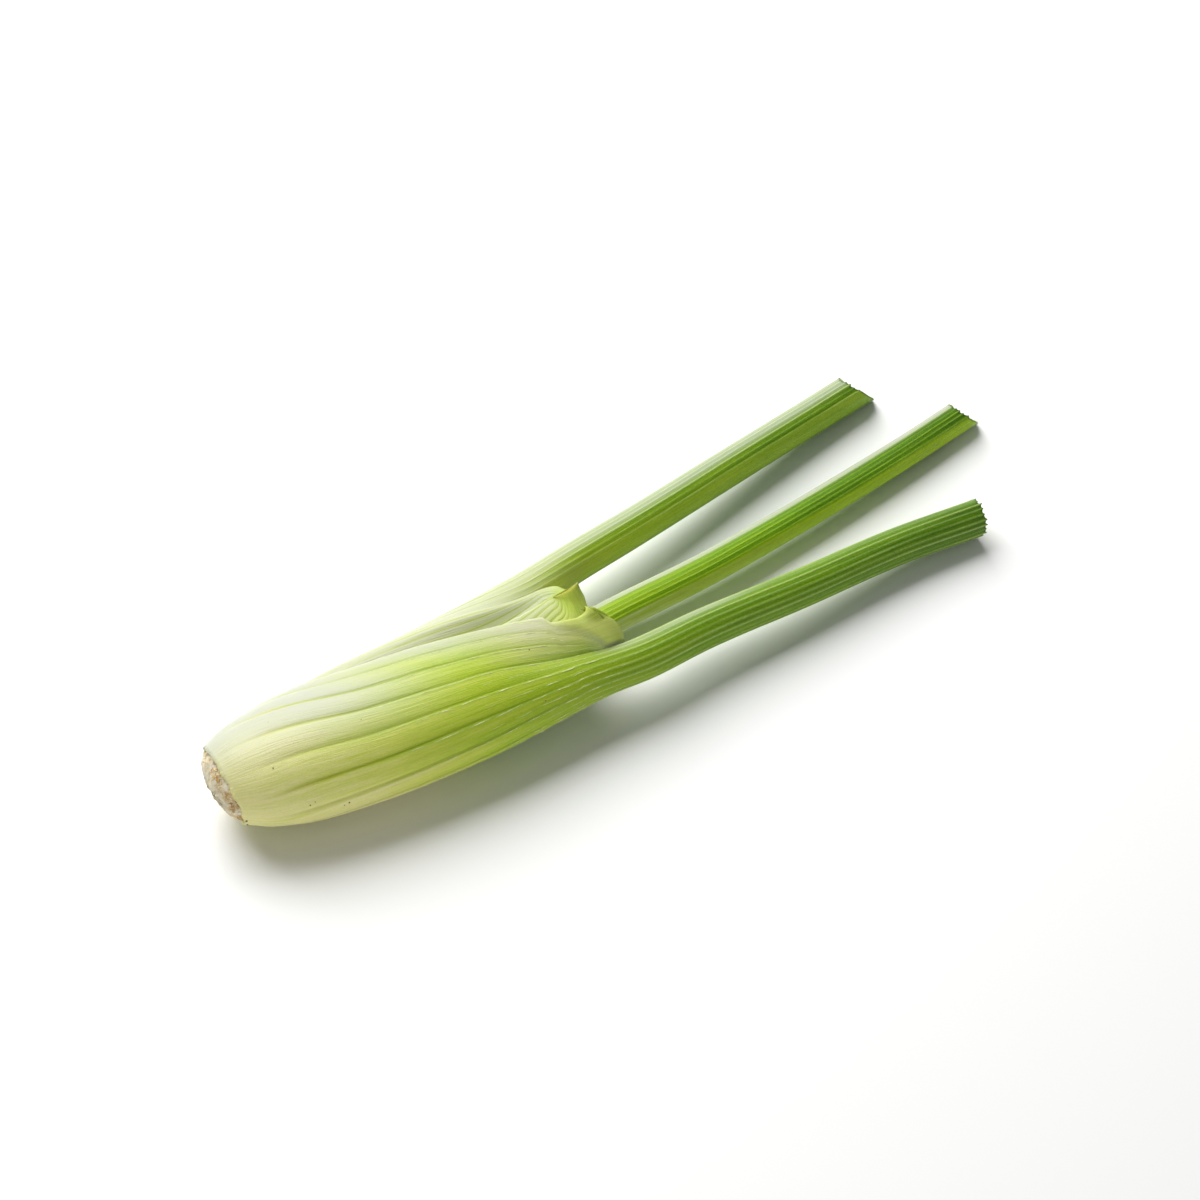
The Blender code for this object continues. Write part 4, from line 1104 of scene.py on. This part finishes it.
def leaf_material(name, tones, groove_colour, crest_colour, ripe_colour):
    """Skin of a leaf: its tone follows how pale it is, with streaks, grooves partly darkened as painted
    shade, crests, whitish painted sheen, and ripe edges that on the outer leaf's hood are painted shade.
    """
    material, tree, shader = new_material(name, LEAF_FINISH)
    fine = streaks(tree, 0.14, 3.4)
    broad = streaks(tree, 0.04, 0.3, 2.0)
    lines = streaks(tree, 0.025, 1.5, 1.0)
    place = object_place(tree)
    grain = noise_at(tree, place, 2600.0, 2.0)
    tone = read(tree, "pale")
    for streak, strength in ((fine, 0.34), (broad, 0.3), (lines, 0.3)):
        tone = counted(tree, "MULTIPLY_ADD", streak, strength, tone)
    tone = counted(tree, "SUBTRACT", tone, 0.46, clamp=True)
    colour = ramp(tree, tone, [(i / (len(tones) - 1), *rgb) for i, rgb in enumerate(tones)])
    # Grooves and the valleys between stalk ridges darker: partly their own deeper green, partly painted shade
    # in the recess
    colour = mixed(tree, carried(tree, "groove"), colour, groove_colour, "MULTIPLY")
    colour = mixed(tree, carried(tree, "crest", 0.75), colour, crest_colour)
    dashes = counted(tree, "MULTIPLY", streaks(tree, 0.9, 4.2, 1.0), 0.5)
    pores = rescaled(tree, counted(tree, "MULTIPLY_ADD", grain, 0.5, dashes), (0.38, 0.62), (-1.0, 1.0))
    reach = rescaled(tree, tone, (0.15, 0.6), (0.2, 0.035))
    colour = mixed(tree, 1.0, colour, counted(tree, "MULTIPLY_ADD", pores, reach, 1.0), "MULTIPLY")
    # Whitish tone, mostly painted sheen on the sides that face the overhead light
    colour = mixed(tree, carried(tree, "white"), colour, WHITISH_SHEEN)
    # Ripe browning at the inner leaf's lips; on the outer leaf's hood and in its slit the same value is
    # painted shade
    ripe = counted(tree, "MULTIPLY", read(tree, "ripe"), counted(tree, "ADD", fine, 0.15), clamp=True)
    colour = mixed(tree, ripe, colour, ripe_colour)
    dots = rescaled(tree, cells_at(tree, place, 900.0), (0.10, 0.04), (0.0, 0.35))
    colour = mixed(tree, dots, colour, groove_colour, "MULTIPLY")
    # Dark green at the cut edges, and painted shade along the outer hood's crease
    colour = mixed(tree, read(tree, "edge"), colour, CUT_EDGE_AND_CREASE_SHADE)
    tree.links.new(rescaled(tree, fine, (0.0, 1.0), (0.26, 0.5)), shader.inputs["Roughness"])
    connect(tree, shader, colour, counted(tree, "MULTIPLY_ADD", grain, 0.25, fine), 0.6, 0.0002)
    return material


def cut_material(name, pith, flesh, rind):
    """A cut stalk: pale pith, a ring of darker bundles near the rind, and wet-looking cells."""
    material, tree, shader = new_material(name, CUT_FINISH)
    core = read(tree, "core")
    place = object_place(tree)
    cells = cells_at(tree, place, 1500.0)
    colour = ramp(tree, core, ((0.0, *pith), (0.62, *flesh), (0.86, *flesh), (1.0, *rind)))
    bundles = rescaled(tree, cells_at(tree, place, 780.0), (0.26, 0.14), (0.0, 0.8))
    near_rind = rescaled(tree, core, (0.66, 0.8), (0.0, 1.0))
    colour = mixed(tree, counted(tree, "MULTIPLY", bundles, near_rind), colour, rind)
    colour = mixed(tree, counted(tree, "MULTIPLY", cells, 0.3), colour, pith)
    connect(tree, shader, colour, cells, 0.5, 0.0002)
    return material


def root_material():
    """Dry beige stem face with brown fibres near its rim."""
    material, tree, shader = new_material("cut stem beige", {"Roughness": 0.7})
    place = object_place(tree)
    patches, spots = noise_at(tree, place, 420.0, 5.0), noise_at(tree, place, 1500.0, 3.0)
    beiges = ((0.32, 0.66, 0.55, 0.32), (0.5, 0.76, 0.68, 0.48), (0.68, 0.85, 0.8, 0.64))
    brown = counted(tree, "MULTIPLY", read(tree, "ripe"), spots)
    brown = rescaled(tree, brown, (0.5, 0.66), (0.0, 0.7))
    colour = mixed(tree, brown, ramp(tree, patches, beiges), ROOT_BROWN)
    connect(tree, shader, colour, counted(tree, "ADD", patches, spots), 0.7, 0.0005)
    return material


def plain_material(name, first, second, scale, roughness):
    """Two colours mixed by fine noise, with matching bumps."""
    material, tree, shader = new_material(name, {"Roughness": roughness})
    noise = noise_at(tree, object_place(tree), scale, 3.0)
    colour = ramp(tree, noise, ((0.35, *first), (0.65, *second)))
    connect(tree, shader, colour, noise, 0.5, 0.0001)
    return material


def vein_lines(material):
    """The thin raised lines that run below the grooves of the outer leaf."""
    points, edges, sizes = [], [], []
    rng = np.random.default_rng(61)
    for line in np.arange(1.0, 10.4, 0.5):
        whole, on_hood = line == round(line), line > OUTER_STALK_RIBS
        x = np.arange(VEIN_START if whole else HALF_VEIN_START, VEIN_END, VEIN_STEP)
        ribs = line - LINE_BELOW_GROOVE + 0.015 * ripple(x / 12.0, line, 62)
        above = ribs - OUTER_STALK_RIBS
        ribs = np.where(above > 0, OUTER_STALK_RIBS + above * between(HOOD_NARROWS, x), ribs)
        if on_hood:
            x, ribs = x[x < OUTER_SPLIT], ribs[x < OUTER_SPLIT]
        on_skin = outer_section(ribs, x, False)[0] - [0, 0, 0.03]
        strength = smoothstep(VEIN_START, 48, x) if whole else 0.75 * smoothstep(HALF_VEIN_START, 66, x)
        ending = smoothstep(76, OUTER_SPLIT, x) if on_hood else smoothstep(78, 96, x)
        strength = strength * (1 - ending) * (0.6 + 0.6 * ripple(x / 6.0, line, 63)).clip(0.0, 1.2)
        first = len(points)
        points.extend(on_skin)
        sizes.extend(VEIN_THICKNESS * strength * rng.uniform(0.8, 1.1))
        edges.extend((first + i, first + i + 1) for i in range(len(on_skin) - 1))
    settings = {"Seed": 7.0, "Bumps": 1400.0, "Unevenness": 1.6, "Sides": 6}
    return grown("outer_leaf_veins", points, edges, sizes, tubes, settings, material)


def skin_specks(material):
    """Small brown marks on the outer leaf."""
    rng = np.random.default_rng(71)
    x, ribs = rng.uniform(8, 120, LOOSE_SPECKS), rng.uniform(0.5, 9.5, LOOSE_SPECKS)
    loose = np.stack([x, ribs, 0.04 + 0.07 * rng.random(LOOSE_SPECKS) ** 2], 1)
    on_leaf = (x < OUTER_SPLIT) | (ribs < OUTER_STALK_RIBS)
    x, ribs, sizes = np.vstack([KNOWN_SPECKS, loose[on_leaf]]).T
    settings = {"Seed": 5, "Rounds": 2}
    return grown("skin_specks", outer_section(ribs, x, False)[0], [], sizes, specks, settings, material)


def on_root_face(degrees, depth, lift):
    """A point on the cut stem face, raised off it by lift."""
    xs, depths = zip(*PLUG_FACE)
    return on_bulb(np.array(np.interp(depth, depths, xs) - lift), np.array(degrees), np.array(depth))


def root_fibres(material):
    """Frayed ends of fibres along the border between the leaf and the cut stem."""
    rng = np.random.default_rng(81)
    points, edges, sizes = [], [], []
    for number in range(FIBRES):
        degrees = rng.uniform(*FIBRE_DEGREES) if number % 3 else rng.uniform(0, 360)
        depth, length, lift = rng.uniform(0.9, 2.3), rng.uniform(0.5, 1.8), 0.03
        heading = rng.uniform(-1, 1, 2)
        first = len(points)
        for i in range(FIBRE_POINTS):
            heading = heading + rng.uniform(-0.5, 0.5, 2)
            degrees += heading[0] * 5 * length / FIBRE_POINTS
            depth = max(0.6, depth + 0.5 * heading[1] * length / FIBRE_POINTS)
            lift += rng.uniform(0, 0.16) * length / FIBRE_POINTS
            points.append(on_root_face(degrees, depth, lift))
            sizes.append(FIBRE_THICKNESS * (1 - 0.6 * i / (FIBRE_POINTS - 1)))
        edges.extend((first + i, first + i + 1) for i in range(FIBRE_POINTS - 1))
    settings = {"Seed": 3.0, "Bumps": 1800.0, "Unevenness": 1.4, "Sides": 5}
    return grown("root_fibres", points, edges, sizes, tubes, settings, material)


def root_crumbs(material):
    """Small orange-brown crumbs of torn tissue along the same border."""
    rng = np.random.default_rng(82)
    facing, anywhere = rng.uniform(*CRUMB_DEGREES, CRUMBS), rng.uniform(0, 360, CRUMBS)
    degrees = np.where(np.arange(CRUMBS) % 3, facing, anywhere)
    depths = 1.0 + 1.1 * rng.random(CRUMBS) ** 1.6
    points = [on_root_face(*place) for place in zip(degrees, depths, np.full(CRUMBS, 0.02))]
    sizes = 0.06 + 0.17 * rng.random(CRUMBS) ** 2
    return grown("root_crumbs", points, [], sizes, specks, {"Seed": 9, "Rounds": 1}, material)


def area_light(name, direction, distance, size, power):
    """A soft square light that shines on the fennel from a direction."""
    data = bpy.data.lights.new(name, "AREA")
    data.shape, data.size, data.energy = "SQUARE", size, power
    light = new_object(name, data)
    direction = Vector(direction).normalized()
    light.location = direction * distance
    light.rotation_mode = "QUATERNION"
    light.rotation_quaternion = (-direction).to_track_quat("-Z", "Y")


# Each leaf: five tones from dark green to pale, then the colours of its grooves, crests and ripe edges; the
# outer leaf's ripe colour is painted shade for its hood
outer_skin = leaf_material(
    "outer leaf skin",
    ((0.08, 0.2, 0.004), (0.22, 0.4, 0.008), (0.42, 0.56, 0.03), (0.6, 0.66, 0.11), (0.8, 0.76, 0.34)),
    (0.64, 0.68, 0.24),
    (0.4, 0.54, 0.17),
    (0.2, 0.25, 0.022),
)
inner_skin = leaf_material(
    "inner leaf skin",
    ((0.08, 0.2, 0.004), (0.24, 0.42, 0.01), (0.46, 0.6, 0.04), (0.66, 0.7, 0.13), (0.84, 0.83, 0.5)),
    (0.55, 0.64, 0.18),
    (0.42, 0.56, 0.16),
    (0.5, 0.36, 0.06),
)
under_skin = leaf_material(
    "under leaf skin",
    ((0.08, 0.2, 0.002), (0.2, 0.4, 0.003), (0.42, 0.6, 0.008), (0.52, 0.62, 0.1), (0.78, 0.8, 0.5)),
    (0.5, 0.62, 0.3),
    (0.34, 0.52, 0.03),
    (0.5, 0.4, 0.12),
)
vein_skin = plain_material("raised vein", (0.5, 0.6, 0.12), (0.8, 0.84, 0.46), 1100.0, 0.4)
speck_skin = plain_material("brown speck", (0.1, 0.05, 0.012), (0.3, 0.18, 0.05), 2500.0, 0.6)
fibre_skin = plain_material("frayed fibre", (0.56, 0.3, 0.06), (0.88, 0.72, 0.4), 700.0, 0.6)
stalk_cut = cut_material("cut stalk", (0.72, 0.76, 0.5), (0.45, 0.6, 0.18), (0.06, 0.15, 0.01))
stem_face = root_material()

pieces = (
    (outer_leaf((outer_skin, stalk_cut)), "outer_leaf"),
    (inner_leaf((inner_skin, stalk_cut)), "inner_leaf"),
    (under_leaf((under_skin, stalk_cut)), "under_leaf"),
    (root_cut((stem_face,)), "stem_base"),
)
for piece, node in pieces:
    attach(piece, "root")
    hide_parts(node)

for piece, slot in (
    (vein_lines(vein_skin), "outer_leaf"),
    (skin_specks(speck_skin), "outer_leaf"),
    (root_fibres(fibre_skin), "stem_base"),
    (root_crumbs(fibre_skin), "stem_base"),
):
    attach(piece, "root")

# Camera at the photo's viewing angle
AZIMUTH, ELEVATION, DISTANCE = math.radians(-30.0), math.radians(50.0), 0.6375
TARGET = Vector((np.array((96.21, 6.07, 10.0)) - MIDDLE) * MM)
level = math.cos(ELEVATION)
back = Vector((math.sin(AZIMUTH) * level, -math.cos(AZIMUTH) * level, math.sin(ELEVATION)))
camera = new_object("camera", bpy.data.cameras.new("camera"))
camera.data.lens, camera.data.sensor_width = 85.0, 36.0
camera.data.clip_start, camera.data.clip_end = 0.01, 20.0
camera.location = TARGET + back * DISTANCE
camera.rotation_mode = "QUATERNION"
camera.rotation_quaternion = (-back).to_track_quat("-Z", "Y")
bpy.context.scene.camera = camera

# Soft studio light and a pale floor
area_light("overhead softbox", direction=(-0.05, 0.62, 0.75), distance=0.9, size=0.8, power=13.5)
area_light("low reflector", direction=(-0.35, -0.93, 0.1), distance=1.0, size=0.5, power=2.8)

world = bpy.data.worlds.new("studio")
world.use_nodes = True
background = world.node_tree.nodes["Background"]
background.inputs["Color"].default_value = (1.0, 1.0, 1.0, 1.0)
background.inputs["Strength"].default_value = 0.2
bpy.context.scene.world = world
bpy.context.scene.view_settings.view_transform = "Standard"

FLOOR_REACH, FLOOR_DROP = 6.0, 0.00002
floor_mesh = bpy.data.meshes.new("floor")
corners = [(FLOOR_REACH * x, FLOOR_REACH * y, 0) for x, y in ((-1, -1), (1, -1), (1, 1), (-1, 1))]
floor_mesh.from_pydata(corners, [], [(0, 1, 2, 3)])
floor = new_object("floor", floor_mesh)
floor.location.z = -FLOOR_DROP
floor_paint = new_material("pale floor", {"Roughness": 0.6, "Base Color": (0.92, 0.92, 0.91, 1.0)})[0]
floor_mesh.materials.append(floor_paint)
